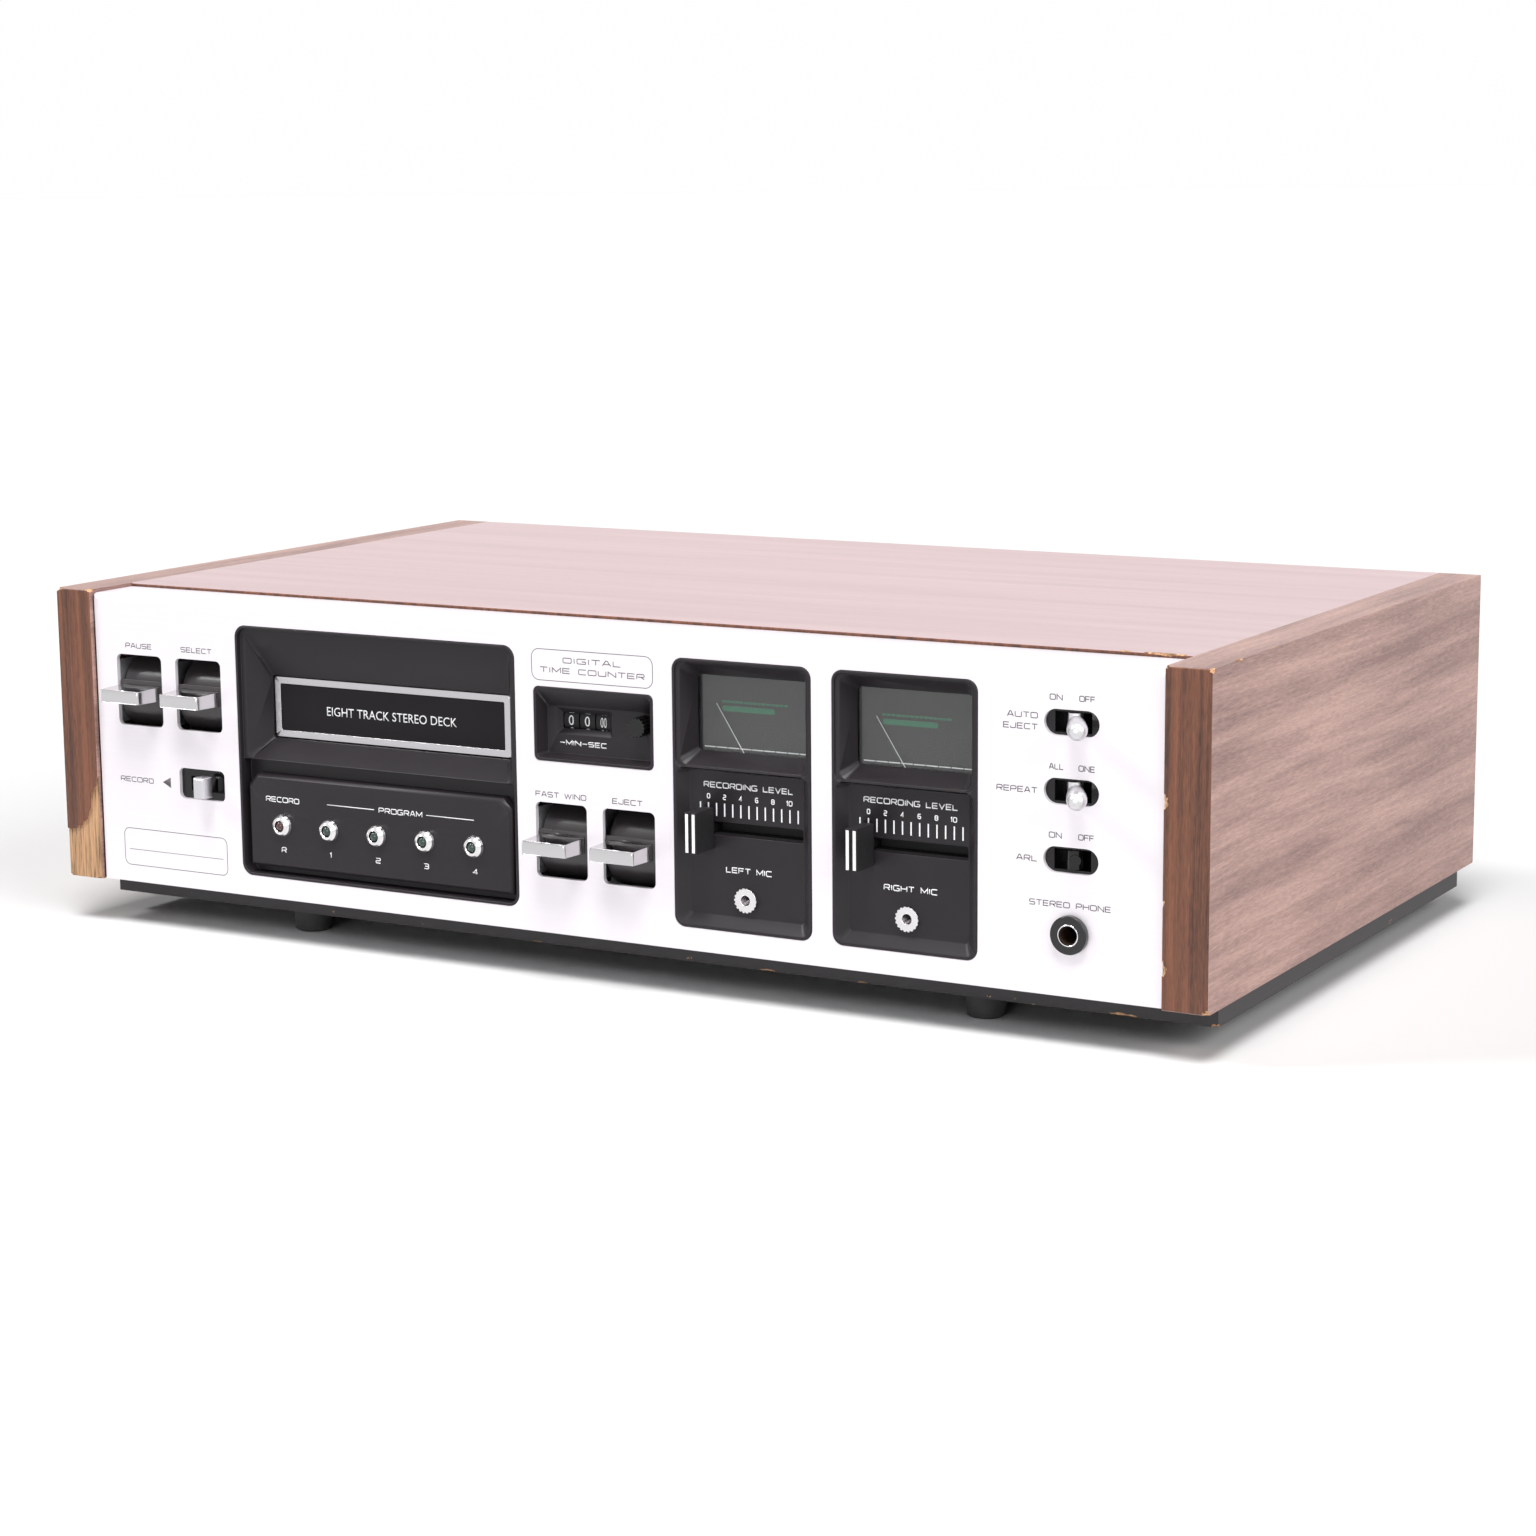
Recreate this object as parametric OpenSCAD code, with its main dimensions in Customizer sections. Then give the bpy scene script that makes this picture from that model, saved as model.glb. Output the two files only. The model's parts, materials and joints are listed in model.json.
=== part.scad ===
// Eight-track tape recorder deck in a walnut cabinet.
// X runs to the right along the front, Y runs back into the cabinet and Z is up.
// The origin is on the floor, below the middle of the whole deck.
// Places on the front panel are given as (x, z): x from the cabinet's left side and
// z from the bottom edge of the side panels, as a drawing of the front would give them.
// Depths d run back from the front edges of the side panels.

/* [Cabinet] */
// Overall width across the side panels
cab_w = 470; // [455:1:500]
// Depth of the side panels
cab_d = 268; // [262:1:300]
// Height of the side panels
cab_h = 111.6; // [110:0.2:130]
// Thickness of each side panel
side_t = 15.9; // [12:0.1:18]
// Thickness of the top board
top_t = 12.7; // [9:0.1:13]
// Radius worn onto the edges of the boards
board_r = 0.8; // [0.3:0.1:2]
// Thickness of the plinth board under the cabinet
plinth_t = 9.5; // [6:0.5:16]
// How far the plinth stands in from each side
plinth_in_x = 5.4; // [2:0.2:10]
// How far the plinth stands in from the front
plinth_in_y = 22.5; // [10:0.5:30]
// How far the plinth stops short of the back
plinth_back = 2; // [0:0.5:10]
// Diameter of a rubber foot at the plinth
foot_dia = 15; // [12:0.5:22]
// Height of a rubber foot
foot_h = 8; // [5:0.5:15]
// Distance of the feet from each side of the cabinet
foot_in_x = 93; // [40:1:120]
// Distance of the front feet from the cabinet's front
foot_front = 31; // [31:1:60]
// Distance of the back feet from the cabinet's back
foot_back = 28; // [14:1:60]

/* [Front plate] */
// Thickness of the aluminium front plate
plate_t = 1.6; // [1.2:0.1:2]
// How far the plate's face lies behind the side panels' front edges
plate_d = 1.8; // [1.2:0.1:2.4]
// Depth of the flange bent back over the top
flange_depth = 24.2; // [18:0.1:30]
// Inner radius of the bend
bend_r = 0.8; // [0.5:0.1:2]
// Step from the top board's surface down to the flange
flange_step = 1.3; // [0.5:0.1:3]

/* [Cartridge bay] */
// Middle of the bay moulding, from the left
bay_x = 145.1; // [144.6:0.1:147]
// Middle of the bay moulding, from the bottom
bay_z = 55.2; // [54.8:0.1:55.8]
// Width of the bay moulding
bay_w = 123.6; // [122.6:0.2:124]
// Height of the bay moulding
bay_h = 93.6; // [93:0.2:94.4]
// Corner radius of the bay moulding
bay_r = 4.5; // [3:0.5:6]
// Width of the door opening at the throat
door_w = 105.8; // [104:0.2:106]
// Height of the door opening
door_h = 23.4; // [23:0.1:24]
// Middle of the door opening, from the bottom
door_z = 70.9; // [70.6:0.1:71.2]
// Depth of the throat, where the funnel ends
throat_d = 11.8; // [11:0.1:12]
// Door panel thickness, trim included
door_t = 2.4; // [2:0.1:2.8]
// Distance between program lamps
lamp_pitch = 21.4; // [18:0.1:23]
// Height of the program lamps
lamp_z = 28.4; // [26:0.1:32]
// Diameter of a lamp's chrome ring
lamp_dia = 8.3; // [7:0.1:9.5]

/* [Level modules] */
// Middle of the left level module, from the left
level_x = 298.7; // [298.3:0.1:299.5]
// Distance between the two level modules
level_pitch = 62.05; // [61.5:0.05:63]
// Width of a level module
level_w = 54; // [53:0.2:54.6]
// Height of a level module
level_h = 93.65; // [93:0.05:94.2]
// Middle of the level modules, from the bottom
level_z = 55.4; // [55:0.1:55.8]
// Width of the meter window
meter_w = 42.8; // [40:0.2:43.4]
// Height of the meter window
meter_h = 26; // [24:0.2:26.4]
// Middle of the meter window, from the bottom
meter_z = 82.7; // [82:0.1:83]
// Length of a needle from its pivot
needle_l = 28.4; // [26:0.2:29.5]
// Angle of a needle at rest, to the left of upright
needle_rest = 32.8; // [25:0.2:36]
// Height of the fader slot's middle
fader_z = 43.6; // [42:0.1:46]
// Place of the fader at rest, left of the module's middle
fader_rest = 15; // [12:0.1:17]
// Travel of a fader
fader_travel = 31.7; // [20:0.1:32]
// Height of the microphone jacks
mic_z = 19.5; // [17:0.1:22]

/* [Keys and switches] */
// Width of a key's cut-out
key_slot_w = 21.05; // [20:0.05:21.4]
// Height of a key's cut-out
key_slot_h = 26.7; // [26:0.1:27.4]
// Width of a key's front face
key_w = 18; // [14:0.1:18.4]
// Height of a key's front face
key_h = 4.85; // [4:0.05:6]
// Reach of a key in front of the cabinet's edge
key_reach = 10.4; // [7:0.1:13]
// Radius of the drum behind each key
drum_r = 15.5; // [15:0.1:16]
// Middle of the record slide's cut-out, from the left
record_x = 65.25; // [65:0.05:65.6]
// Height of the record slide
record_z = 40.6; // [38:0.1:44]
// Travel of the record slide
record_travel = 8.6; // [6:0.1:9]
// Middle of the column of bat switches, from the left
bat_x = 421.2; // [419:0.1:422]
// Height of the lowest bat switch
bat_z = 45.6; // [45:0.1:46]
// Distance between bat switches
bat_pitch = 22.5; // [22:0.1:23]
// Angle of a bat lever on either side
bat_tilt = 26; // [16:0.5:27]
// Length of a bat lever from its pivot to the middle of its tip
bat_l = 17.6; // [15:0.1:19]
// Radius of a bat lever's tip
bat_r = 3.3; // [2.6:0.1:3.6]

/* [Time counter] */
// Middle of the counter moulding, from the left
counter_x = 239.3; // [239:0.1:239.6]
// Middle of the counter moulding, from the bottom
counter_z = 75.4; // [75:0.1:75.8]
// Radius of a number wheel
wheel_r = 7; // [6:0.1:8]
// Distance between number wheels
wheel_pitch = 6.7; // [6.4:0.1:6.9]
// Width of a number wheel
wheel_w = 6.1; // [5:0.1:6.2]

/* [Drive] */
// Middle of the capstan, from the left
capstan_x = 104; // [102:0.5:107]
// Depth of the capstan and motor
drive_d = 112; // [111:0.5:114]
// Middle of the motor, from the left
motor_x = 232; // [230:0.5:240]
// Radius of the flywheel
fly_r = 30; // [24:0.5:31]
// Radius of the motor pulley
pulley_r = 5.5; // [4:0.5:8]
// Radius of the capstan shaft
capstan_r = 1.6; // [1.2:0.1:2]

/* [Jacks] */
// Middle of the headphone jack, from the left
phone_x = 421.4; // [418:0.1:423]
// Height of the headphone jack
phone_z = 21.25; // [19:0.05:24]
// Bore radius of the headphone jack, for a quarter inch plug
phone_r = 3.25; // [3.2:0.01:3.3]
// Bore radius of a microphone jack, for a 3.5 mm plug
mic_r = 1.8; // [1.78:0.01:1.85]

/* [Hidden] */
$fn = 48;

// Clearances
seat_gap = 0.15;    // a moulding in its cut-out
slip_gap = 0.3;     // a board or sheet beside another
run_gap = 0.05;     // a shaft in its bearing, on the radius
free_gap = 0.5;     // pieces that pass each other
skin = 0.02;        // thin slice that starts or ends a tapered cut

// Cabinet
bat_reach = bat_l*cos(bat_tilt) - bat_pivot_d() + bat_r;
front_y = -(cab_d - bat_reach)/2;
panel_z = foot_h + plinth_t;
flange_z = cab_h - flange_step;
plate_back = plate_d + plate_t;
inner_l = side_t;
inner_r = cab_w - side_t;
top_d = flange_depth + slip_gap;
cleat_h = 14;
cleat_d = 15;

// Chassis and rear panel
sheet_t = 1.2;
rear_t = 1.5;
rear_in = 12;
rear_d = cab_d - rear_in - rear_t;
rear_top = cab_h - top_t - slip_gap;
lip_front_h = 5.5;
lip_rear_h = 14;
screw_r = 1.4;
screw_head_r = 3.2;
screw_row_low = 8;
screw_row_high = cab_h - top_t - cleat_h/2;

// Bay moulding: depths run from its rim to its back
rim_d = plate_d - 0.3;
rim_wall = 1.0;
wall = 2.0;
lip_w = 2.2;
lip_t = 1.8;
funnel_d = 3.6;
funnel_w = 117.8;
funnel_top = 99.8;
funnel_bottom = 52.3;
funnel_r = 2.5;
groove_d = 7.5;
groove_top = 51.9;
throat_t = 1.6;
throat_end = throat_d + 1.4;
face_d = 2.4;
face_w = 117.6;
face_bottom = 12.0;
face_top = 46.8;
face_chamfer = 4;
face_bevel = 1.2;

// Door and its pin
door_gap = 0.4;
trim_border = 2.6;
trim_t = 0.8;
trim_inset = 0.3;
door_d = throat_end - 0.6;
pin_r = 1.0;
knuckle_r = 1.8;
knuckle_l = 14;
pin_d = throat_end + knuckle_r + 0.4;
pin_z = door_z + door_h/2 + 2.8;
ear_t = 1.6;
ear_x = door_w/2 + 0.6;
spring_wire = 0.3;
spring_r = 1.9;
spring_turns = 5;

// Cartridge deck
deck_top = door_z - door_h/2 - 0.3;
deck_t = 2.5;
deck_d0 = throat_end + slip_gap;
deck_back = 16;
deck_d1 = drive_d + fly_r + deck_back;
deck_half = 57;
guide_half_front = ear_x - 0.2;
guide_half = 51.4;
guide_wall = 2.4;
guide_top = 80.5;
guide_lead0 = 43;
guide_lead1 = 47;
guide_d1 = 108;
cartridge_stop = 118;
leg_r = 4;
post_r = 3;

// Head, its carriage and the cam that lifts it
head_x = bay_x + 8;
head_w = 12;
head_dd = 9;
head_h = 12;
head_z = door_z - 0.2;
guide_pin_x = head_x + 13;
guide_pin_d = cartridge_stop + 16;
guide_pin_r = 2;
sleeve_r = 4;
cam_x = guide_pin_x + 17;
cam_r = 10;
cam_step = 0.8;
cam_low = deck_top + 7;
cam_start = 14;
cam_finger_z = cam_low + slip_gap;
stud_r = 1.5;

// Transformer: its core, its feet and its winding
core_w = 60;
core_t = 28;
core_h = 50;
trans_foot = 38;
lug_w = 10;
lug_t = 2;
winding_l = 48;
winding_h = 38;
winding_w = 42;
winding_round = 8;

// Circuit board and the parts on it
board_from_motor = 44;
board_gap = 4.1;
board_back = 22.5;
board_t = 1.6;
standoff_in = 6;
big_can_r = 7;
big_can_h = 26;
big_can_row = 24;
small_can_r = 3.2;
small_can_h = 12;
small_can_row = 50;
chip_size = [8, 20, 4];
chip_row = 34;
resistor_size = [3, 12, 3];
resistor_row = 76;
shield_row = 100;
shield_in = 18;
shield_size = [3, 26];

// Cooling slots in the rear panel and in the chassis floor
vent_w = 3;
vent_h = 42;
vent_z = 28;
vent_pitch = 7;
vent_count = 12;
floor_slot = [4, 14];
floor_slot_pitch = 9;

// Drive
fly_z = 22;
fly_t = 9;
belt_t = 0.8;
belt_h = 6;
belt_gap = 0.1;
motor_z = 34;
motor_h = 46;
motor_r = 22;
post_ring = 17;
capstan_top = 79;
thrust_z = 9;

// Keys
upper_key_z = 74.35;
lower_key_z = 33.85;
pause_x = 37.2;
select_x = 65.2;
fast_x = 225.4;
eject_x = 253.3;
key_slot_r = 2;
key_drop = 0.85;
key_root_h = 5.7;
key_root_d = 8;
drum_w = key_slot_w - 0.85;
drum_wall = 2;
drum_front = 2.4;
drum_step = 2.4;
drum_up = 17;
drum_top = 84;
drum_down = 76;
pivot_d = drum_front + drum_r;
shaft_r = 2.0;
cheek_t = 1.2;
cheek_half_h = 12;
bracket_back = pivot_d + 14;

// Record slide
record_slot_w = 21.1;
record_slot_h = 11.25;
record_w = 4.5;
record_h = 7.85;
record_out = 5.5;
record_cap = 5.3;
record_stem_w = 3;
record_stem_h = 5;
record_rest = record_slot_w/2 - record_w/2 - 4;

// Counter
counter_w = 48.9;
counter_h = 26.2;
counter_r = 2;
counter_face_d = 7.2;
counter_face_w = 44.6;
counter_face_top = 81.2;
counter_face_bottom = 64.3;
window_x = 232.1;
window_z = 75.9;
window_w = 19.2;
window_h = 5.4;
window_bevel = 2;
counter_back = counter_face_d + 2;
wheel_d = counter_back + slip_gap + wheel_r;
wheel_shaft_r = 1.5;
reset_x = 257.6;
reset_z = 76.9;
reset_r = 3.5;
reset_stem_r = 1.5;
frame_t = 0.8;

// Level modules
level_r = 4;
level_face_d = 5.1;
level_face_w = 45;
level_face_bottom = 13.2;
level_face_top = 63.4;
meter_frame_d = 2.5;
meter_frame_bottom = 64.6;
meter_funnel_w = 49.2;
meter_funnel_top = 100.9;
meter_funnel_bottom = 65.2;
meter_window_d = 10;
glass_t = 1.0;
pivot_z = 62;
needle_w = 0.7;
needle_t = 0.4;
needle_d = meter_window_d + glass_t + 1.0;
needle_hub_r = 1.8;
needle_pin_r = 0.5;
dial_d = needle_d + needle_t + 0.8;
meter_body_d = 32;
meter_body_w = 45.6;
meter_body_top = 97.4;
meter_body_bottom = 57.4;
fader_slot_w = 44;
fader_slot_h = 4.6;
fader_w = 4.4;
fader_h = 14.4;
fader_out = 7.6;
fader_groove = 1.4;
fader_stem_w = 2.6;
fader_stem_h = 3.2;
fader_body_d = 9;
fader_body_h = 12;
mic_nut_r = 4.15;
mic_nut_t = 1.5;
mic_bush_r = 3;
mic_body = 11;
mic_l = 15;

// Bat switches
function bat_pivot_d() = plate_d + 3.2;
bat_slot_w = 19.2;
bat_slot_h = 8.3;
bat_neck_r = 1.9;
stub_l = 3.4;
bat_hub_r = 2.6;
bat_hub_h = 6.2;
trunnion_l = 11;
trunnion_r = 1.2;
switch_w = 22;
switch_h = 14;
switch_depth = 17;

// Headphone jack
phone_nut_r = 6.45;
phone_nut_t = 2.4;
phone_bush_r = 4.6;
phone_l = 30;
phone_body = 15;

// Places that several pieces share
level_xs = [level_x, level_x + level_pitch];
bat_zs = [bat_z, bat_z + bat_pitch, bat_z + 2*bat_pitch];
key_places = [[pause_x, upper_key_z], [select_x, upper_key_z], [fast_x, lower_key_z], [eject_x, lower_key_z]];
feet_places = [for (x = [foot_in_x, cab_w - foot_in_x], d = [foot_front, cab_d - foot_back]) [x, d]];
post_angles = [0, 110, -110];
leg_places = [for (x = [bay_x - 52, bay_x + 51], d = [27, deck_d1 - 6]) [x, d]];
trans_x = inner_r - 44;
trans_d = 190;
board_x0 = motor_x + board_from_motor;
board_x1 = trans_x - trans_foot - board_gap;
board_w = board_x1 - board_x0;
board_d0 = 60;
board_d1 = rear_d - board_back;
board_z = 9;
standoffs = [for (x = [board_x0 + standoff_in, board_x1 - standoff_in],
    d = [board_d0 + standoff_in, board_d1 - standoff_in]) [x, d]];
vent_xs = [cab_w*0.2, cab_w*0.46];
jack_x = 342;
jack_z = 66;
jack_pitch = 19;
jack_places = [for (x = [-0.5, 0.5], z = [-0.5, 0.5]) [x*jack_pitch, z*jack_pitch]];
gland_x = inner_r - 30;
gland_z = 30;
gland_r = 5.5;
gland_bore = 3.4;
rear_screw_xs = [for (i = [0:4]) inner_l + 14 + i*(inner_r - inner_l - 28)/4];

// ---------- shapes used by many pieces

// Moves to a place on the front, d behind the side panels' front edges
module at_front(x, z, d = 0) {
    translate([x - cab_w/2, front_y + d, panel_z + z]) children();
}

// An outline drawn as seen from the front, running back from depth d0 to d1
module slab(d0, d1) {
    translate([0, d1, 0]) rotate([90, 0, 0]) linear_extrude(d1 - d0) children();
}

// An outline drawn in depth and height, running along X from x0 to x1
module along_x(x0, x1) {
    translate([x0, 0, 0]) rotate([90, 0, 90]) linear_extrude(x1 - x0) children();
}

module round_rect(w, h, r) {
    square([w - 2*r, h], center = true);
    square([w, h - 2*r], center = true);
    for (x = [-1, 1], z = [-1, 1]) translate([x*(w/2 - r), z*(h/2 - r)]) circle(r);
}

module rod_x(x0, x1, r) {
    translate([x0, 0, 0]) rotate([0, 90, 0]) cylinder(h = x1 - x0, r = r);
}

module rod_y(d0, d1, r) {
    translate([0, d0, 0]) rotate([-90, 0, 0]) cylinder(h = d1 - d0, r = r);
}

// A box from its low corner to its high corner
module block(a, b) {
    translate(a) cube(b - a);
}

// A pocket whose walls slope in from one rounded outline to another
module funnel(w0, h0, z0, d0, w1, h1, z1, d1, r) {
    hull() {
        translate([0, 0, z0]) slab(d0 - skin, d0) round_rect(w0, h0, r, $fn = 32);
        translate([0, 0, z1]) slab(d1, d1 + skin) round_rect(w1, h1, r/2, $fn = 32);
    }
}

// ---------- cabinet

module side_panel(x) {
    color("sienna") at_front(x, 0)
        along_x(0, side_t) translate([cab_d/2, cab_h/2]) round_rect(cab_d, cab_h, board_r);
}
module side_panel_left() { side_panel(0); }
module side_panel_right() { side_panel(inner_r); }

module top_panel() {
    color("rosybrown") at_front(0, 0) {
        along_x(inner_l, inner_r) translate([(top_d + cab_d)/2, cab_h - top_t/2])
            round_rect(cab_d - top_d, top_t, board_r);
        difference() {
            block([inner_l + 6, rear_d - cleat_d, cab_h - top_t - cleat_h],
                  [inner_r - 6, rear_d, cab_h - top_t]);
            for (x = rear_screw_xs) translate([x, rear_d, screw_row_high])
                rod_y(-5, 1, screw_r + run_gap);
        }
    }
}

module base_board() {
    color("darkslategray") at_front(0, -plinth_t)
        block([plinth_in_x, plinth_in_y, 0], [cab_w - plinth_in_x, cab_d - plinth_back, plinth_t]);
}

module rubber_feet() {
    color("dimgray") for (p = feet_places) at_front(p[0], -plinth_t - foot_h, p[1])
        rotate_extrude() polygon([[2, 1.5], [2.6, 0], [foot_dia/2 - 1.6, 0], [foot_dia/2 - 0.8, 0.6],
            [foot_dia/2, foot_h], [0, foot_h], [0, 1.5]]);
}

module sheet_pan() {
    block([inner_l + slip_gap, plate_back, 0], [inner_r - slip_gap, rear_d, sheet_t]);
    block([inner_l + slip_gap, plate_back, 0], [inner_r - slip_gap, plate_back + sheet_t, lip_front_h]);
    block([inner_l + slip_gap, rear_d - sheet_t, 0], [inner_r - slip_gap, rear_d, lip_rear_h]);
}

module chassis() {
    color("silver") at_front(0, 0) difference() {
        union() {
            sheet_pan();
            // posts under the deck, the motor, the circuit board and the capstan
            for (p = standoffs) translate([p[0], p[1], 0]) cylinder(h = board_z, r = post_r);
            for (a = post_angles) translate([motor_x + post_ring*cos(a), drive_d + post_ring*sin(a), 0])
                cylinder(h = motor_z, r = post_r);
            translate([capstan_x, drive_d, 0]) cylinder(h = thrust_z, r = 4);
        }
        // cooling slots in the floor under the transformer
        for (i = [-3:3]) translate([trans_x + i*floor_slot_pitch - floor_slot[0]/2, rear_d - 20, -1])
            cube([floor_slot[0], floor_slot[1], 3]);
        for (x = rear_screw_xs) translate([x, rear_d, screw_row_low]) rod_y(-3, 1, screw_r + run_gap);
    }
}

module rear_panel() {
    color("gray") at_front(0, 0) difference() {
        block([inner_l + slip_gap, rear_d, slip_gap], [inner_r - slip_gap, rear_d + rear_t, rear_top]);
        for (x = rear_screw_xs, z = [screw_row_low, screw_row_high])
            translate([x, rear_d, z]) rod_y(-1, 3, screw_r + run_gap);
        for (p = jack_places) translate([jack_x + p[0], rear_d, jack_z + p[1]]) rod_y(-1, 3, 3.2);
        translate([gland_x, rear_d, gland_z]) rod_y(-1, 3, gland_r + seat_gap);
        // two banks of upright cooling slots
        for (i = [0:vent_count - 1], x = vent_xs) translate([x + i*vent_pitch, rear_d - 1, vent_z])
            cube([vent_w, 4, vent_h]);
    }
}

module rear_jacks() {
    color("silver") at_front(jack_x, jack_z, rear_d + rear_t) difference() {
        union() {
            slab(0, 1.6) round_rect(2*jack_pitch, 2*jack_pitch, 2);
            for (p = jack_places) translate([p[0], 0, p[1]]) rod_y(0, 8.5, 4.1);
            for (p = jack_places) translate([p[0], 0, p[1]]) rod_y(-5, 0, 3.0);
        }
        for (p = jack_places) translate([p[0], 0, p[1]]) rod_y(1, 9, 1.6);
    }
}

module cord_gland() {
    color("black") at_front(gland_x, gland_z, rear_d + rear_t) rotate([-90, 0, 0])
        rotate_extrude() polygon([[gland_bore, -7], [gland_r, -7], [gland_r, 0], [gland_r + 2, 0],
            [gland_r + 2, 2.4], [gland_r, 3.2], [gland_r - 1, 7], [gland_bore, 7]]);
}

module rear_screws() {
    color("silver") for (x = rear_screw_xs, z = [screw_row_low, screw_row_high])
        at_front(x, z, rear_d + rear_t) {
            rotate([-90, 0, 0]) rotate_extrude() polygon([[0, 0], [screw_head_r, 0],
                [screw_head_r, 0.8], [screw_head_r*0.75, 1.7], [0, 2.1]]);
            rod_y(-rear_t - sheet_t, 0, screw_r);
        }
}

// ---------- front plate

module plate_profile() {
    translate([plate_d, slip_gap]) square([plate_t, flange_z - bend_r - plate_t - slip_gap]);
    translate([plate_back + bend_r, flange_z - plate_t - bend_r]) intersection() {
        difference() {
            circle(bend_r + plate_t);
            circle(bend_r);
        }
        translate([-bend_r - plate_t, 0]) square(bend_r + plate_t);
    }
    translate([plate_back + bend_r, flange_z - plate_t])
        square([flange_depth - plate_back - bend_r, plate_t]);
}

module cut_out(x, z, w, h, r) {
    at_front(x, z) slab(plate_d - 1, plate_back + 1)
        round_rect(w + 2*seat_gap, h + 2*seat_gap, r + seat_gap);
}

module front_plate() {
    color("gainsboro") difference() {
        at_front(0, 0) along_x(inner_l + slip_gap, inner_r - slip_gap) plate_profile();
        cut_out(bay_x, bay_z, bay_w, bay_h, bay_r);
        cut_out(counter_x, counter_z, counter_w, counter_h, counter_r);
        for (x = level_xs) cut_out(x, level_z, level_w, level_h, level_r);
        for (p = key_places) cut_out(p[0], p[1], key_slot_w, key_slot_h, key_slot_r);
        cut_out(record_x, record_z, record_slot_w, record_slot_h, key_slot_r);
        for (z = bat_zs) cut_out(bat_x, z, bat_slot_w, bat_slot_h, bat_slot_h/2 - 0.01);
        at_front(phone_x, phone_z) rod_y(plate_d - 1, plate_back + 1, phone_bush_r + seat_gap);
    }
}

// ---------- cartridge bay

// The edge that a moulding shows in front of the plate and the lip that seats behind it
module moulding_tray(w, h, r, back) {
    slab(rim_d, back) round_rect(w, h, r);
    slab(plate_back, plate_back + lip_t) round_rect(w + 2*lip_w, h + 2*lip_w, r + lip_w);
}

// The raised face that carries the program lamps
module program_face() {
    w = face_w/2;
    c = face_chamfer;
    outline = [[-w, face_bottom], [w, face_bottom], [w, face_top - c], [w - c, face_top],
        [c - w, face_top], [-w, face_top - c]];
    slab(face_d + face_bevel, groove_d + 1) polygon(outline);
    hull() {
        slab(face_d + face_bevel, face_d + face_bevel + skin) polygon(outline);
        slab(face_d, face_d + skin) polygon([for (p = outline)
            [p[0]*(1 - face_bevel/w), p[1] + (p[1] > 30 ? -face_bevel : face_bevel)]]);
    }
}

module bay_funnel(grow, d0, d1) {
    t = (d0 - funnel_d)/(throat_d - funnel_d);
    zt = funnel_top + (door_z + door_h/2 - funnel_top)*t;
    zb = funnel_bottom + (door_z - door_h/2 - funnel_bottom)*t;
    funnel(funnel_w + (door_w - funnel_w)*t + 2*grow, zt - zb + 2*grow, (zt + zb)/2, d0,
           door_w + 2*grow, door_h + 2*grow, door_z, d1, funnel_r);
}

module bay_bezel() {
    color("dimgray") at_front(bay_x, 0) difference() {
        union() {
            difference() {
                translate([0, 0, bay_z]) moulding_tray(bay_w, bay_h, bay_r, groove_d + wall);
                // shallow pocket round the funnel, deep one round the program face
                translate([0, 0, bay_z]) slab(0, funnel_d)
                    round_rect(bay_w - 2*rim_wall, bay_h - 2*rim_wall, bay_r - rim_wall);
                intersection() {
                    translate([0, 0, bay_z]) slab(0, groove_d)
                        round_rect(bay_w - 2*rim_wall, bay_h - 2*rim_wall, bay_r - rim_wall);
                    block([-bay_w, 0, 0], [bay_w, groove_d + 1, groove_top]);
                }
            }
            program_face();
            bay_funnel(throat_t, groove_d + wall, throat_end);
            // ears that carry the ends of the door's pin
            for (s = [-1, 1]) difference() {
                along_x(s*(ear_x + ear_t/2) - ear_t/2, s*(ear_x + ear_t/2) + ear_t/2)
                    translate([throat_d, door_z + 6]) square([pin_d + 3 - throat_d, pin_z - door_z - 3]);
                translate([0, pin_d, pin_z]) rod_x(-door_w, door_w, pin_r + run_gap);
            }
        }
        bay_funnel(0, funnel_d, throat_d);
        translate([0, 0, door_z]) slab(throat_d - 1, throat_end + 1) round_rect(door_w, door_h, 1);
        for (i = [-2:2]) translate([i*lamp_pitch, 0, lamp_z]) rod_y(0, groove_d + wall + 1, lamp_dia/2 - 0.9);
    }
}

module cartridge_door() {
    w = door_w - 2*door_gap;
    h = door_h - 2*door_gap;
    pz = pin_z - door_z;
    color("dimgray") at_front(bay_x, door_z) difference() {
        union() {
            slab(door_d + trim_t, door_d + door_t) round_rect(w, h, 1);
            slab(door_d + trim_inset, door_d + trim_t)
                round_rect(w - 2*trim_border, h - 2*trim_border, 0.6);
            // two knuckles on the pin, each on a short web
            for (s = [-1, 1]) translate([s*(w/2 - knuckle_l/2 - 0.4), 0, 0]) {
                translate([0, pin_d, pz]) rod_x(-knuckle_l/2, knuckle_l/2, knuckle_r);
                along_x(-knuckle_l/2, knuckle_l/2) translate([door_d + 1, h/2 - 0.5])
                    square([door_t - 1, pz - h/2 + 0.5]);
            }
        }
        translate([0, pin_d, pz]) rod_x(-door_w, door_w, pin_r + run_gap);
    }
}

module door_trim() {
    w = door_w - 2*door_gap;
    h = door_h - 2*door_gap;
    color("silver") at_front(bay_x, door_z) slab(door_d, door_d + trim_t) difference() {
        round_rect(w, h, 1);
        round_rect(w - 2*trim_border, h - 2*trim_border, 0.6);
    }
}

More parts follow.
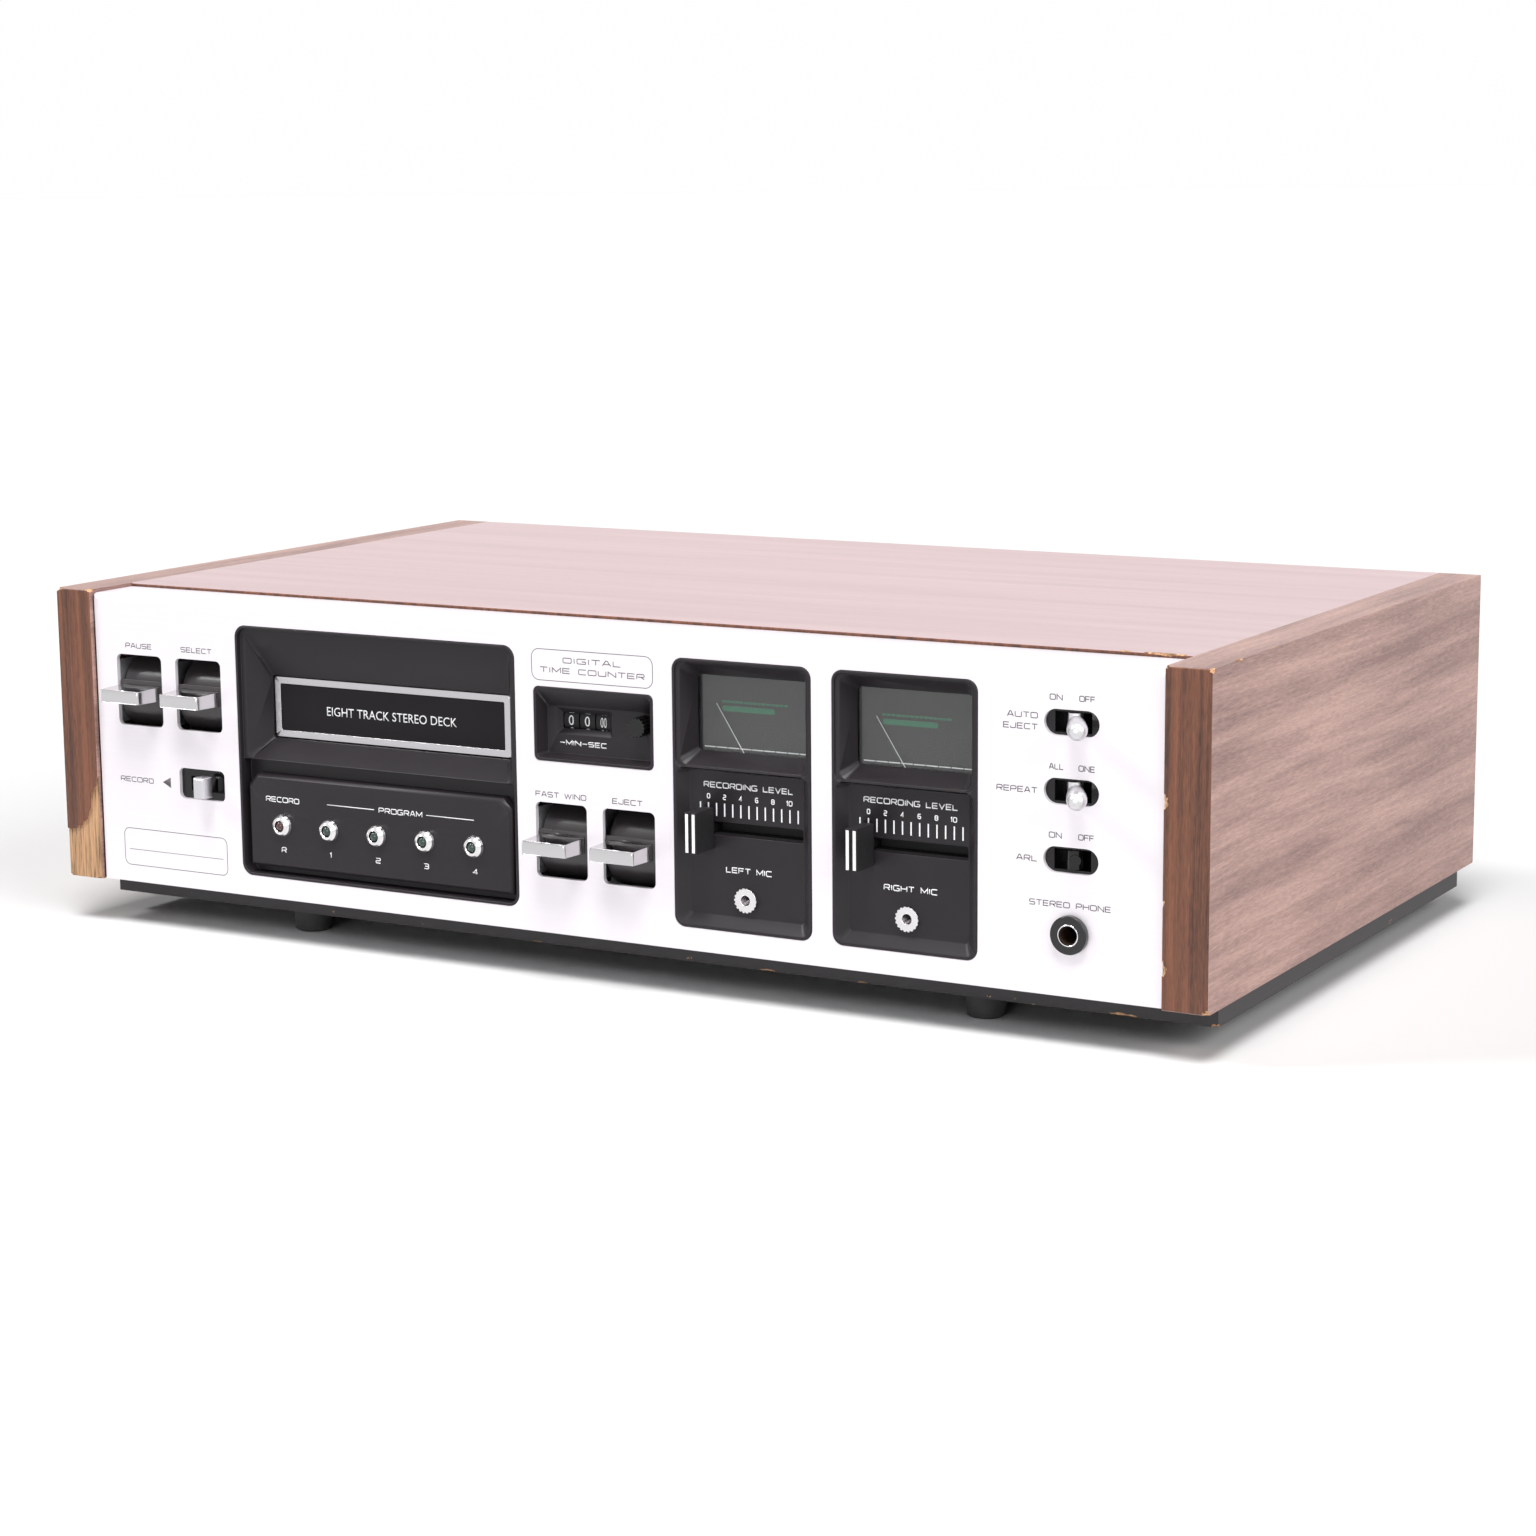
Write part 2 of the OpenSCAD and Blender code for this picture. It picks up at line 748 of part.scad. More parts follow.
module door_pin() {
    color("silver") at_front(bay_x, pin_z, pin_d) rod_x(-ear_x - ear_t, ear_x + ear_t, pin_r);
}

// Points of the spring's wire: turns round the door's pin
function spring_path() = [for (i = [0:spring_turns*8])
    [i/8*(2*spring_wire + 0.45), spring_r*cos(i*45), spring_r*sin(i*45)]];

module door_spring() {
    path = spring_path();
    n = len(path);
    sides = 6;
    points = [for (i = [0:n - 1], k = [0:sides - 1]) let (
        a = i*45, c = spring_wire*cos(k*360/sides), s = spring_wire*sin(k*360/sides))
        [path[i][0] + s, (spring_r + c)*cos(a), (spring_r + c)*sin(a)]];
    faces = concat(
        [for (i = [0:n - 2], k = [0:sides - 1], h = [0, 1]) let (
            a = i*sides + k, b = i*sides + (k + 1)%sides)
            h == 0 ? [a, b, b + sides] : [a, b + sides, a + sides]],
        [[for (k = [sides - 1:-1:0]) k]], [[for (k = [0:sides - 1]) (n - 1)*sides + k]]);
    color("silver") at_front(bay_x - 26, pin_z, pin_d) polyhedron(points, faces);
}

// ---------- deck that takes the cartridge

// Plan of the right hand guide wall, with its lead-in
function guide_plan() = [[guide_half_front, 19], [guide_half_front + guide_wall, 19],
    [guide_half_front + guide_wall, guide_d1], [guide_half, guide_d1], [guide_half, guide_lead1],
    [guide_half_front, guide_lead0]];

module cartridge_deck() {
    color("lightgray") at_front(bay_x, 0) difference() {
        union() {
            block([-deck_half, deck_d0, deck_top - deck_t], [deck_half, deck_d1, deck_top]);
            translate([0, 0, deck_top - deck_t]) linear_extrude(guide_top - deck_top + deck_t) {
                polygon(guide_plan());
                mirror([1, 0]) polygon(guide_plan());
            }
            for (p = leg_places) translate([p[0] - bay_x, p[1], sheet_t])
                cylinder(h = deck_top - deck_t - sheet_t, r = leg_r);
            // capstan bearing below the floor, head guide pin and cam stud above it
            translate([capstan_x - bay_x, drive_d, fly_z + fly_t + 8])
                cylinder(h = deck_top - fly_z - fly_t - 8, r = 6);
            translate([guide_pin_x - bay_x, guide_pin_d, deck_top - 1])
                cylinder(h = 28, r = guide_pin_r);
            translate([cam_x - bay_x, guide_pin_d, deck_top - 1]) {
                cylinder(h = cam_low - deck_top - 4 + 1 - slip_gap, r = 4);
                cylinder(h = cam_low - deck_top + 5, r = stud_r);
            }
        }
        translate([capstan_x - bay_x, drive_d, 0]) cylinder(h = 100, r = capstan_r + run_gap);
    }
}

module lamp_rings() {
    r = lamp_dia/2;
    color("silver") for (i = [-2:2]) at_front(bay_x + i*lamp_pitch, lamp_z, face_d) rotate([90, 0, 0])
        rotate_extrude() polygon([[2.05, -9], [r - 0.9 - seat_gap, -9], [r - 0.9 - seat_gap, 0], [r, 0],
            [r, 0.7], [r - 0.35, 1.6], [r - 1.0, 2.4], [r - 1.7, 2.8], [2.3, 2.9], [2.05, 2.6]]);
}

module lamp_lenses() {
    color("seagreen") for (i = [-2:2]) at_front(bay_x + i*lamp_pitch, lamp_z, face_d) rotate([90, 0, 0])
        rotate_extrude() polygon([[0, -8], [2.0, -8], [2.0, 2.1], [1.5, 2.6], [0.8, 2.9], [0, 3.0]]);
}

// ---------- keys

// Side outline of a key, a little taller at its root
module key_side() {
    a = key_h/2;
    b = key_root_h/2;
    polygon([[-key_reach, a - 0.3], [-key_reach + 0.3, a], [drum_front, b], [key_root_d, b],
        [key_root_d, -b], [drum_front, -b], [-key_reach + 0.3, -a], [-key_reach, 0.3 - a]]);
}

// A key with the upright edges of its front rounded
module key_solid() {
    w = key_w/2;
    r = 0.8;
    intersection() {
        along_x(-w, w) key_side();
        translate([0, 0, -key_h]) linear_extrude(2*key_h) union() {
            translate([-w, r - key_reach]) square([key_w, key_root_d + key_reach]);
            translate([r - w, -key_reach]) square([key_w - 2*r, key_root_d]);
            for (s = [-1, 1]) translate([s*(w - r), r - key_reach]) circle(r);
        }
    }
}

module key(p) {
    color("silver") at_front(p[0], p[1] - key_drop) key_solid();
}

// One arc of a drum's shell: from angle a1 up to a2, its outside at radius r
module drum_arc(a1, a2, r) {
    intersection() {
        difference() {
            circle(r);
            circle(r - drum_wall);
        }
        polygon([[0, 0], for (a = [a1:(a2 - a1)/8:a2 + 0.01]) [-2*r*cos(a), 2*r*sin(a)]]);
    }
}

// Black drum that closes the cut-out behind a key: its shell steps back above the key
module drum(p) {
    in_r = drum_r - drum_step;
    color("dimgray") at_front(p[0], p[1] - key_drop) difference() {
        translate([0, pivot_d, 0]) union() {
            along_x(-drum_w/2, drum_w/2) {
                drum_arc(-drum_down, drum_up, drum_r);
                drum_arc(drum_up - 8, drum_top, in_r);
            }
            for (x = [-drum_w/2, drum_w/2 - drum_wall]) along_x(x, x + drum_wall) intersection() {
                circle(in_r - 0.5);
                polygon([[shaft_r + 3, -drum_r], [shaft_r + 3, drum_r], [-drum_r, drum_r], [-drum_r, -drum_r]]);
            }
            for (x = [-drum_w/2, drum_w/2 - drum_wall]) along_x(x, x + drum_wall) intersection() {
                circle(drum_r - 0.1);
                polygon([[0, 0], [-drum_r, tan(drum_up)*drum_r], [-2*drum_r, 0], [-drum_r, -2*drum_r], [0, -2*drum_r]]);
            }
            rod_x(-drum_w/2, drum_w/2, shaft_r + 2.4);
        }
        translate([0, pivot_d, 0]) rod_x(-drum_w, drum_w, shaft_r + run_gap);
        key_solid();
    }
}

module pause_key() { key(key_places[0]); }
module pause_drum() { drum(key_places[0]); }
module select_key() { key(key_places[1]); }
module select_drum() { drum(key_places[1]); }
module fast_wind_key() { key(key_places[2]); }
module fast_wind_drum() { drum(key_places[2]); }
module eject_key() { key(key_places[3]); }
module eject_drum() { drum(key_places[3]); }

// One shaft and one bracket for each pair of keys
key_pairs = [[pause_x, select_x, upper_key_z - key_drop], [fast_x, eject_x, lower_key_z - key_drop]];
function cheek_xs(q) = [q[0] - drum_w/2 - free_gap - cheek_t, (q[0] + q[1] - cheek_t)/2,
    q[1] + drum_w/2 + free_gap];

module key_shafts() {
    color("silver") for (q = key_pairs) at_front(0, q[2], pivot_d)
        rod_x(cheek_xs(q)[0] - 0.8, cheek_xs(q)[2] + cheek_t + 0.8, shaft_r);
}

module key_brackets() {
    color("gray") for (q = key_pairs) at_front(0, q[2]) difference() {
        union() {
            for (x = cheek_xs(q)) block([x, plate_back, -cheek_half_h], [x + cheek_t, bracket_back, cheek_half_h]);
            block([cheek_xs(q)[0], bracket_back - cheek_t, -cheek_half_h],
                  [cheek_xs(q)[2] + cheek_t, bracket_back, cheek_half_h]);
        }
        translate([0, pivot_d, 0]) rod_x(0, cab_w, shaft_r + run_gap);
    }
}

// ---------- record slide and switches

module record_knob() {
    color("silver") at_front(record_x + record_rest, record_z) {
        slab(-record_out + 0.6, record_cap - record_out) square([record_w, record_h], center = true);
        hull() {
            slab(-record_out + 0.6, -record_out + 0.6 + skin) square([record_w, record_h], center = true);
            slab(-record_out, -record_out + skin) square([record_w - 1, record_h - 1.2], center = true);
        }
        slab(record_cap - record_out, plate_back + 6) square([record_stem_w, record_stem_h], center = true);
    }
}

module record_switch() {
    at_front(record_x, record_z) difference() {
        slab(plate_back, plate_back + 11) round_rect(record_slot_w + 8, record_slot_h + 5, 1);
        slab(plate_back - 1, plate_back + 7)
            square([record_travel + record_stem_w + 2*free_gap, record_stem_h + free_gap], center = true);
    }
}

module bat_switch(z) {
    at_front(bat_x, z) difference() {
        slab(plate_back, plate_back + switch_depth) round_rect(switch_w, switch_h, 1);
        block([-6.5, 0, -bat_hub_h/2 - 0.3], [6.5, bat_pivot_d() + 5, bat_hub_h/2 + 0.3]);
        translate([0, bat_pivot_d(), -trunnion_l/2 - 0.2])
            cylinder(h = trunnion_l + 0.4, r = trunnion_r + run_gap);
    }
}

module switch_bodies() {
    color("darkslategray") {
        record_switch();
        for (z = bat_zs) bat_switch(z);
    }
}

// Bat lever with its hub and trunnions, leaning to the right at rest
module bat_lever(z, length) {
    color("silver") at_front(bat_x, z, bat_pivot_d()) {
        rotate([0, 0, bat_tilt]) rotate([90, 0, 0]) rotate_extrude() bat_profile(length);
        translate([0, 0, -bat_hub_h/2]) cylinder(h = bat_hub_h, r = bat_hub_r);
        translate([0, 0, -trunnion_l/2]) cylinder(h = trunnion_l, r = trunnion_r);
    }
}

// Half outline of a bat: a cone that swells to a round tip
module bat_profile(length) {
    tilt = asin((bat_r - bat_neck_r)/length);
    polygon([[0, 0], [bat_neck_r, 0], [bat_r*cos(tilt), length + bat_r*sin(tilt)*-1], [0, length]]);
    intersection() {
        translate([0, length]) circle(bat_r);
        translate([0, length - bat_r]) square([2*bat_r, 3*bat_r]);
    }
}

module auto_eject_lever() { bat_lever(bat_zs[2], bat_l); }
module repeat_lever() { bat_lever(bat_zs[1], bat_l); }

// The lowest switch has lost its bat: only the inner stub is left
module limiter_lever() {
    color("dimgray") at_front(bat_x, bat_zs[0], bat_pivot_d()) {
        rotate([0, 0, bat_tilt]) rotate([90, 0, 0]) cylinder(h = stub_l, r = bat_neck_r);
        translate([0, 0, -bat_hub_h/2]) cylinder(h = bat_hub_h, r = bat_hub_r);
        translate([0, 0, -trunnion_l/2]) cylinder(h = trunnion_l, r = trunnion_r);
    }
}

// ---------- time counter

module counter_bezel() {
    zc = (counter_face_top + counter_face_bottom)/2;
    color("dimgray") at_front(counter_x, 0) difference() {
        translate([0, 0, counter_z]) moulding_tray(counter_w, counter_h, counter_r, counter_back);
        funnel(counter_w - 2*rim_wall, counter_h - 2*rim_wall, counter_z, rim_d,
               counter_face_w, counter_face_top - counter_face_bottom, zc, counter_face_d, 1.5);
        translate([window_x - counter_x, 0, 0]) funnel(window_w + 2*window_bevel,
            window_h + 2*window_bevel, window_z, counter_face_d, window_w, window_h, window_z,
            counter_back, 0.6);
        translate([reset_x - counter_x, 0, reset_z]) rod_y(0, counter_back + 1, reset_stem_r + run_gap);
    }
}

// Frame screwed behind the moulding, with the shaft of the number wheels riveted in
module counter_frame() {
    xl = window_x - wheel_pitch*1.5 - 1.4;
    xr = window_x + wheel_pitch*1.5 + 0.6;
    back = wheel_d + wheel_r + 1.5;
    color("gray") at_front(0, 0) difference() {
        union() {
            for (x = [xl, xr]) block([x, counter_back, window_z - 8], [x + frame_t, back, window_z + 8]);
            block([xl, back - frame_t, window_z - 8], [reset_x + 4, back, window_z + 8]);
            translate([0, wheel_d, window_z]) rod_x(xl, xr + frame_t, wheel_shaft_r);
        }
        translate([reset_x, 0, reset_z]) rod_y(back - 2, back + 1, reset_stem_r + run_gap);
    }
}

module number_wheel(i) {
    color("black") at_front(window_x + i*wheel_pitch, window_z, wheel_d) rotate([0, 90, 0])
        rotate_extrude() polygon([[wheel_shaft_r + run_gap, -wheel_w/2], [3, -wheel_w/2],
            [3, -wheel_w/2 + 1.5], [wheel_r - 1.2, -wheel_w/2 + 1.5], [wheel_r - 1.2, -wheel_w/2],
            [wheel_r, -wheel_w/2], [wheel_r, wheel_w/2], [wheel_shaft_r + run_gap, wheel_w/2]]);
}
module tens_wheel() { number_wheel(-1); }
module minutes_wheel() { number_wheel(0); }
module seconds_wheel() { number_wheel(1); }

module reset_knob() {
    back = wheel_d + wheel_r + 1.5;
    teeth = 16;
    color("black") at_front(reset_x, reset_z) {
        slab(0.3, counter_face_d - slip_gap) {
            circle(reset_r - 0.4);
            for (i = [0:teeth - 1]) rotate(i*360/teeth) translate([reset_r - 0.9, -0.4]) square([0.9, 0.8]);
        }
        rod_y(counter_face_d - slip_gap, back + 1.2, reset_stem_r);
        rod_y(back + slip_gap, back + 1.2, reset_stem_r + 1.2);
    }
}

// ---------- level modules

module level_bezel(x) {
    fz = (level_face_top + level_face_bottom)/2;
    fh = level_face_top - level_face_bottom;
    mz = (meter_funnel_top + meter_funnel_bottom)/2;
    rim_in = level_z - level_h/2 + rim_wall;
    color("dimgray") at_front(x, 0) difference() {
        union() {
            translate([0, 0, level_z]) moulding_tray(level_w, level_h, level_r, level_face_d + wall);
            block([-level_w/2 + 1, level_face_d, meter_frame_bottom - 1.5],
                  [level_w/2 - 1, meter_window_d, meter_funnel_top + 0.4]);
        }
        // dished lower face, with the step up to the meter's frame above it
        funnel(level_w - 2*rim_wall, meter_frame_bottom - rim_in - 0.3,
               (meter_frame_bottom - 0.3 + rim_in)/2, rim_d, level_face_w, fh, fz, level_face_d, 3);
        translate([0, 0, (meter_frame_bottom + level_z + level_h/2 - rim_wall)/2]) slab(0, meter_frame_d)
            round_rect(level_w - 2*rim_wall, level_z + level_h/2 - rim_wall - meter_frame_bottom, 3);
        funnel(meter_funnel_w, meter_funnel_top - meter_funnel_bottom, mz, meter_frame_d,
               meter_w, meter_h, meter_z, meter_window_d, 3);
        translate([0, 0, fader_z]) slab(0, level_face_d + wall + 1)
            round_rect(fader_slot_w, fader_slot_h, 0.8);
        translate([0, 0, mic_z]) rod_y(0, level_face_d + wall + 1, mic_bush_r + seat_gap);
    }
}
module level_bezel_left() { level_bezel(level_xs[0]); }
module level_bezel_right() { level_bezel(level_xs[1]); }

module meter_glasses() {
    color("gray") for (x = level_xs) at_front(x, meter_z, meter_window_d)
        slab(0, glass_t) round_rect(meter_w + 2, meter_h + 2, 1);
}

module meter_bodies() {
    front = meter_window_d + glass_t;
    color("darkslategray") for (x = level_xs) at_front(x, 0) {
        difference() {
            block([-meter_body_w/2, front, meter_body_bottom], [meter_body_w/2, meter_body_d, meter_body_top]);
            block([-meter_w/2, front - 1, pivot_z - 3.4], [meter_w/2, dial_d, meter_z + meter_h/2]);
        }
        // pin that the needle turns on, and the bar that holds its front end
        translate([0, 0, pivot_z]) rod_y(front + 0.4, dial_d, needle_pin_r);
    }
}

module needle(x) {
    color("white") at_front(x, pivot_z) difference() {
        union() {
            rotate([0, -needle_rest, 0]) {
                block([-needle_w/2, needle_d, 0], [needle_w/2, needle_d + needle_t, needle_l]);
                block([-0.6, needle_d, -3.0], [0.6, needle_d + needle_t, 0]);
            }
            rod_y(needle_d - 0.3, needle_d + needle_t + 0.3, needle_hub_r);
        }
        rod_y(needle_d - 2, needle_d + 3, needle_pin_r + run_gap);
    }
}
module needle_left() { needle(level_xs[0]); }
module needle_right() { needle(level_xs[1]); }

module fader_knob(x) {
    w = fader_w/2;
    g = fader_groove/2;
    d1 = level_face_d - 0.4;
    color("black") at_front(x - fader_rest, fader_z) {
        translate([0, 0, -fader_h/2]) linear_extrude(fader_h) polygon([[-w, -fader_out + 0.4],
            [-w + 0.4, -fader_out], [-g, -fader_out], [-g*0.4, -fader_out + 0.7],
            [g*0.4, -fader_out + 0.7], [g, -fader_out], [w - 0.4, -fader_out],
            [w, -fader_out + 0.4], [w, d1], [-w, d1]]);
        slab(d1, level_face_d + wall + 4.5) square([fader_stem_w, fader_stem_h], center = true);
    }
}
module fader_knob_left() { fader_knob(level_xs[0]); }
module fader_knob_right() { fader_knob(level_xs[1]); }

module fader_bodies() {
    front = level_face_d + wall;
    color("silver") for (x = level_xs) at_front(x, fader_z) difference() {
        slab(front, front + fader_body_d) square([level_w, fader_body_h], center = true);
        slab(front - 1, front + 5) square([fader_slot_w, fader_stem_h + free_gap], center = true);
    }
}

module mic_jacks() {
    back = level_face_d + wall;
    color("silver") for (x = level_xs) at_front(x, mic_z) difference() {
        union() {
            rod_y(level_face_d - mic_nut_t, level_face_d, mic_nut_r);
            rod_y(level_face_d - mic_nut_t, back, mic_bush_r);
            slab(back, back + mic_l) square([mic_body, mic_body], center = true);
        }
        rod_y(0, back + mic_l - 2, mic_r);
    }
}

module phone_jack() {
    color("black") at_front(phone_x, phone_z) difference() {
        union() {
            rod_y(plate_d - phone_nut_t, plate_d, phone_nut_r);
            rod_y(plate_d - phone_nut_t, plate_back, phone_bush_r);
            slab(plate_back, plate_back + phone_l) square([phone_body, phone_body], center = true);
        }
        rod_y(plate_d - phone_nut_t - 1, plate_back + phone_l - 2, phone_r);
    }
}

// ---------- drive

module drive_motor() {
    color("silver") at_front(motor_x, motor_z, drive_d) difference() {
        union() {
            cylinder(h = 2, r = post_ring + post_r);
            translate([0, 0, 2]) cylinder(h = motor_h - 2, r = motor_r);
            translate([0, 0, motor_h]) cylinder(h = 3, r = 6);
            translate([0, 0, -1.5]) cylinder(h = 1.5, r = 4);
        }
        translate([0, 0, -3]) cylinder(h = 15, r = stud_r + run_gap);
    }
}

module motor_pulley() {
    z0 = fly_z + fly_t/2 - belt_h/2;
    color("goldenrod") at_front(motor_x, 0, drive_d) {
        rotate_extrude() polygon([[0, z0 - 1.6], [pulley_r + 1.5, z0 - 1.6], [pulley_r + 1.5, z0 - 0.4],
            [pulley_r, z0 - 0.2], [pulley_r, z0 + belt_h + 0.2], [pulley_r + 1.5, z0 + belt_h + 0.4],
            [pulley_r + 1.5, z0 + belt_h + 1.6], [0, z0 + belt_h + 1.6]]);
        translate([0, 0, z0]) cylinder(h = motor_z + 11 - z0, r = stud_r);
    }
}

// Outline of a belt round the flywheel and the pulley, at radii a and b
module belt_outline(a, b) {
    hull() {
        circle(a, $fn = 64);
        translate([motor_x - capstan_x, 0]) circle(b, $fn = 64);
    }
}

module drive_belt() {
    color("black") at_front(capstan_x, fly_z + (fly_t - belt_h)/2, drive_d) linear_extrude(belt_h)
        difference() {
            belt_outline(fly_r + belt_gap + belt_t, pulley_r + belt_gap + belt_t);
            belt_outline(fly_r + belt_gap, pulley_r + belt_gap);
        }
}

module flywheel() {
    z1 = fly_z + fly_t;
    color("silver") at_front(capstan_x, 0, drive_d) {
        rotate_extrude($fn = 96) polygon([[0, fly_z], [fly_r - 6, fly_z], [fly_r - 5, fly_z - 0.8],
            [fly_r, fly_z - 0.8], [fly_r, z1 + 0.8], [fly_r - 5, z1 + 0.8], [fly_r - 6, z1 - 4],
            [8, z1 - 4], [7, z1 + 7], [0, z1 + 7]]);
        translate([0, 0, thrust_z + slip_gap]) cylinder(h = capstan_top - thrust_z - slip_gap, r = capstan_r);
    }
}

// ---------- tape head

module tape_head() {
    color("silver") at_front(head_x, head_z, cartridge_stop) difference() {
        translate([0, 0, -head_h/2]) linear_extrude(head_h) {
            translate([-head_w/2, 2]) square([head_w, head_dd - 2]);
            intersection() {
                translate([0, 9]) circle(9);
                translate([-head_w/2 + 1, 0]) square([head_w - 2, 4]);
            }
        }
        // the two gaps in the face
        for (z = [-3, 2]) block([-1, -1, z], [1, 0.3, z + 0.7]);
    }
}

module head_carriage() {
    d = cartridge_stop + head_dd;
    color("gray") at_front(0, 0) difference() {
        union() {
            block([head_x - head_w/2, d, head_z - head_h/2], [guide_pin_x, d + 2, head_z + head_h/2]);
            translate([guide_pin_x, guide_pin_d, head_z - head_h/2]) cylinder(h = head_h + 4, r = sleeve_r);
            block([guide_pin_x - 2, d, head_z - head_h/2], [guide_pin_x + 2, guide_pin_d, head_z + head_h/2]);
            // finger that rides on the cam
            block([guide_pin_x, guide_pin_d - 1.5, cam_finger_z],
                  [cam_x - cam_r + 3.5, guide_pin_d + 1.5, cam_finger_z + 2.5]);
        }
        translate([guide_pin_x, guide_pin_d, 0]) cylinder(h = 2*deck_top, r = guide_pin_r + run_gap);
    }
}

// Stepped cam: four levels, one for each pair of tracks
module track_cam() {
    big = 2*cam_r;
    color("white") at_front(cam_x, cam_low, guide_pin_d) difference() {
        union() {
            rotate([0, 0, cam_start]) difference() {
                translate([0, 0, -4]) cylinder(h = 4 + 3*cam_step, r = cam_r);
                translate([0, 0, 2*cam_step]) linear_extrude(big)
                    polygon([[0, 0], [0, -big], [big, -big], [big, big], [-big, big], [-big, 0]]);
                translate([-big, 0, cam_step]) cube([2*big, big, big]);
                translate([-big, 0, 0]) cube(big);
            }
            translate([0, 0, -2]) cylinder(h = 2 + 4*cam_step + 0.4, r = 5);
        }
        translate([0, 0, -5]) cylinder(h = 12, r = stud_r + run_gap);
    }
}

// ---------- electrics

module transformer() {
    color("gray") at_front(trans_x, sheet_t, trans_d) {
        block([-core_w/2, -core_t/2, 0], [core_w/2, core_t/2, core_h]);
        block([-trans_foot, -core_t/2, 0], [-trans_foot + lug_w, core_t/2, lug_t]);
        block([trans_foot - lug_w, -core_t/2, 0], [trans_foot, core_t/2, lug_t]);
        // the winding, rounded where it comes out of the core
        translate([0, 0, core_h/2]) rotate([0, 90, 90]) translate([0, 0, -winding_l/2])
            linear_extrude(winding_l) round_rect(winding_h, winding_w, winding_round);
    }
}

module main_board() {
    color("darkgreen") at_front(0, board_z) {
        block([board_x0, board_d0, 0], [board_x1, board_d1, board_t]);
        for (i = [0:3]) translate([board_x0 + board_w*(i + 0.5)/4, board_d1 - big_can_row, board_t])
            cylinder(h = big_can_h, r = big_can_r);
        for (i = [0:6]) translate([board_x0 + board_w*(i + 0.5)/7, board_d1 - small_can_row, board_t])
            cylinder(h = small_can_h, r = small_can_r);
        for (i = [0:5]) translate([board_x0 + board_w*(i + 0.3)/6, board_d0 + chip_row, board_t])
            cube(chip_size);
        for (i = [0:7]) translate([board_x0 + board_w*(i + 0.4)/8, board_d0 + resistor_row, board_t])
            cube(resistor_size);
        block([board_x0 + shield_in, board_d0 + shield_row, board_t],
              [board_x1 - shield_in, board_d0 + shield_row + shield_size[0], shield_size[1]]);
    }
}

// ---------- the nodes

side_panel_left();
side_panel_right();
top_panel();
base_board();
rubber_feet();
chassis();
rear_panel();
rear_jacks();
cord_gland();
rear_screws();
front_plate();
bay_bezel();
cartridge_door();
door_trim();
door_pin();
door_spring();
cartridge_deck();
lamp_rings();
lamp_lenses();
pause_key();
pause_drum();
select_key();
select_drum();
fast_wind_key();
fast_wind_drum();
eject_key();
eject_drum();
key_shafts();
key_brackets();
record_knob();
switch_bodies();
counter_bezel();
counter_frame();
tens_wheel();
minutes_wheel();
seconds_wheel();
reset_knob();
level_bezel_left();
level_bezel_right();
meter_bodies();
needle_left();
needle_right();
meter_glasses();
fader_knob_left();
fader_knob_right();
fader_bodies();
mic_jacks();
auto_eject_lever();
repeat_lever();
limiter_lever();
phone_jack();
drive_motor();
motor_pulley();
drive_belt();
flywheel();
tape_head();
head_carriage();
track_cam();
transformer();
main_board();
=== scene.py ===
"""The finish of an eight-track tape deck: walnut cabinet, brushed front plate and dark mouldings.

Places on the deck are in millimetres as (x, d, z): x from the cabinet's left side, d back from the
front edges of the side panels, and z up from the bottom edges of the side panels.
"""

import json
import math

import bmesh
import bpy
from mathutils import Matrix, Vector, noise

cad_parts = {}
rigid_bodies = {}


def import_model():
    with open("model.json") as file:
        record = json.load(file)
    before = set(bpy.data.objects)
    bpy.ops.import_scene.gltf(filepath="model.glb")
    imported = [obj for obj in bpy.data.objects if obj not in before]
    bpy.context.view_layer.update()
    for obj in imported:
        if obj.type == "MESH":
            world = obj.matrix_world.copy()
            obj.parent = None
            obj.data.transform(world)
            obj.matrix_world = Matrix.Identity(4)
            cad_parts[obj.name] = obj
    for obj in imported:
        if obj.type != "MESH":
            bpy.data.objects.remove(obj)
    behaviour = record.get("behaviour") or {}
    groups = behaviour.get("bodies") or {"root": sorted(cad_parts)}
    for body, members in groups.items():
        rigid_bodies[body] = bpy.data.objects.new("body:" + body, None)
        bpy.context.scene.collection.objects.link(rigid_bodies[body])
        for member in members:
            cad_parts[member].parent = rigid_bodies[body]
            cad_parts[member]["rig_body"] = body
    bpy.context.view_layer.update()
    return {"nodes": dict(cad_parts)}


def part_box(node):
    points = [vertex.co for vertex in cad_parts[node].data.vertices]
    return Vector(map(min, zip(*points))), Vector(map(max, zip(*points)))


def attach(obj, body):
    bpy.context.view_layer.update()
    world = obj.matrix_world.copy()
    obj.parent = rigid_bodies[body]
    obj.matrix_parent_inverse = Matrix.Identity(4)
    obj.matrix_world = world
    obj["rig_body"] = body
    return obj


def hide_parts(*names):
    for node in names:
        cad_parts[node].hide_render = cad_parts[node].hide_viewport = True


bl_info = {
    "name": "Eight-track deck finish",
    "version": (1, 0, 0),
    "blender": (4, 5, 0),
    "location": "View3D > Sidebar > Deck",
    "description": "Dresses the packed solids of an eight-track deck",
    "category": "Object",
}

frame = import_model()
MM = 0.001
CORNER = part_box("side_panel_left")[0].copy()
CABINET = "cabinet"


def place(x, d, z):
    """A place on the deck, given in millimetres, in the frame's metres."""
    return CORNER + Vector((x, d, z)) * MM


def local(point):
    """The reverse of place."""
    return (Vector(point) - CORNER) / MM


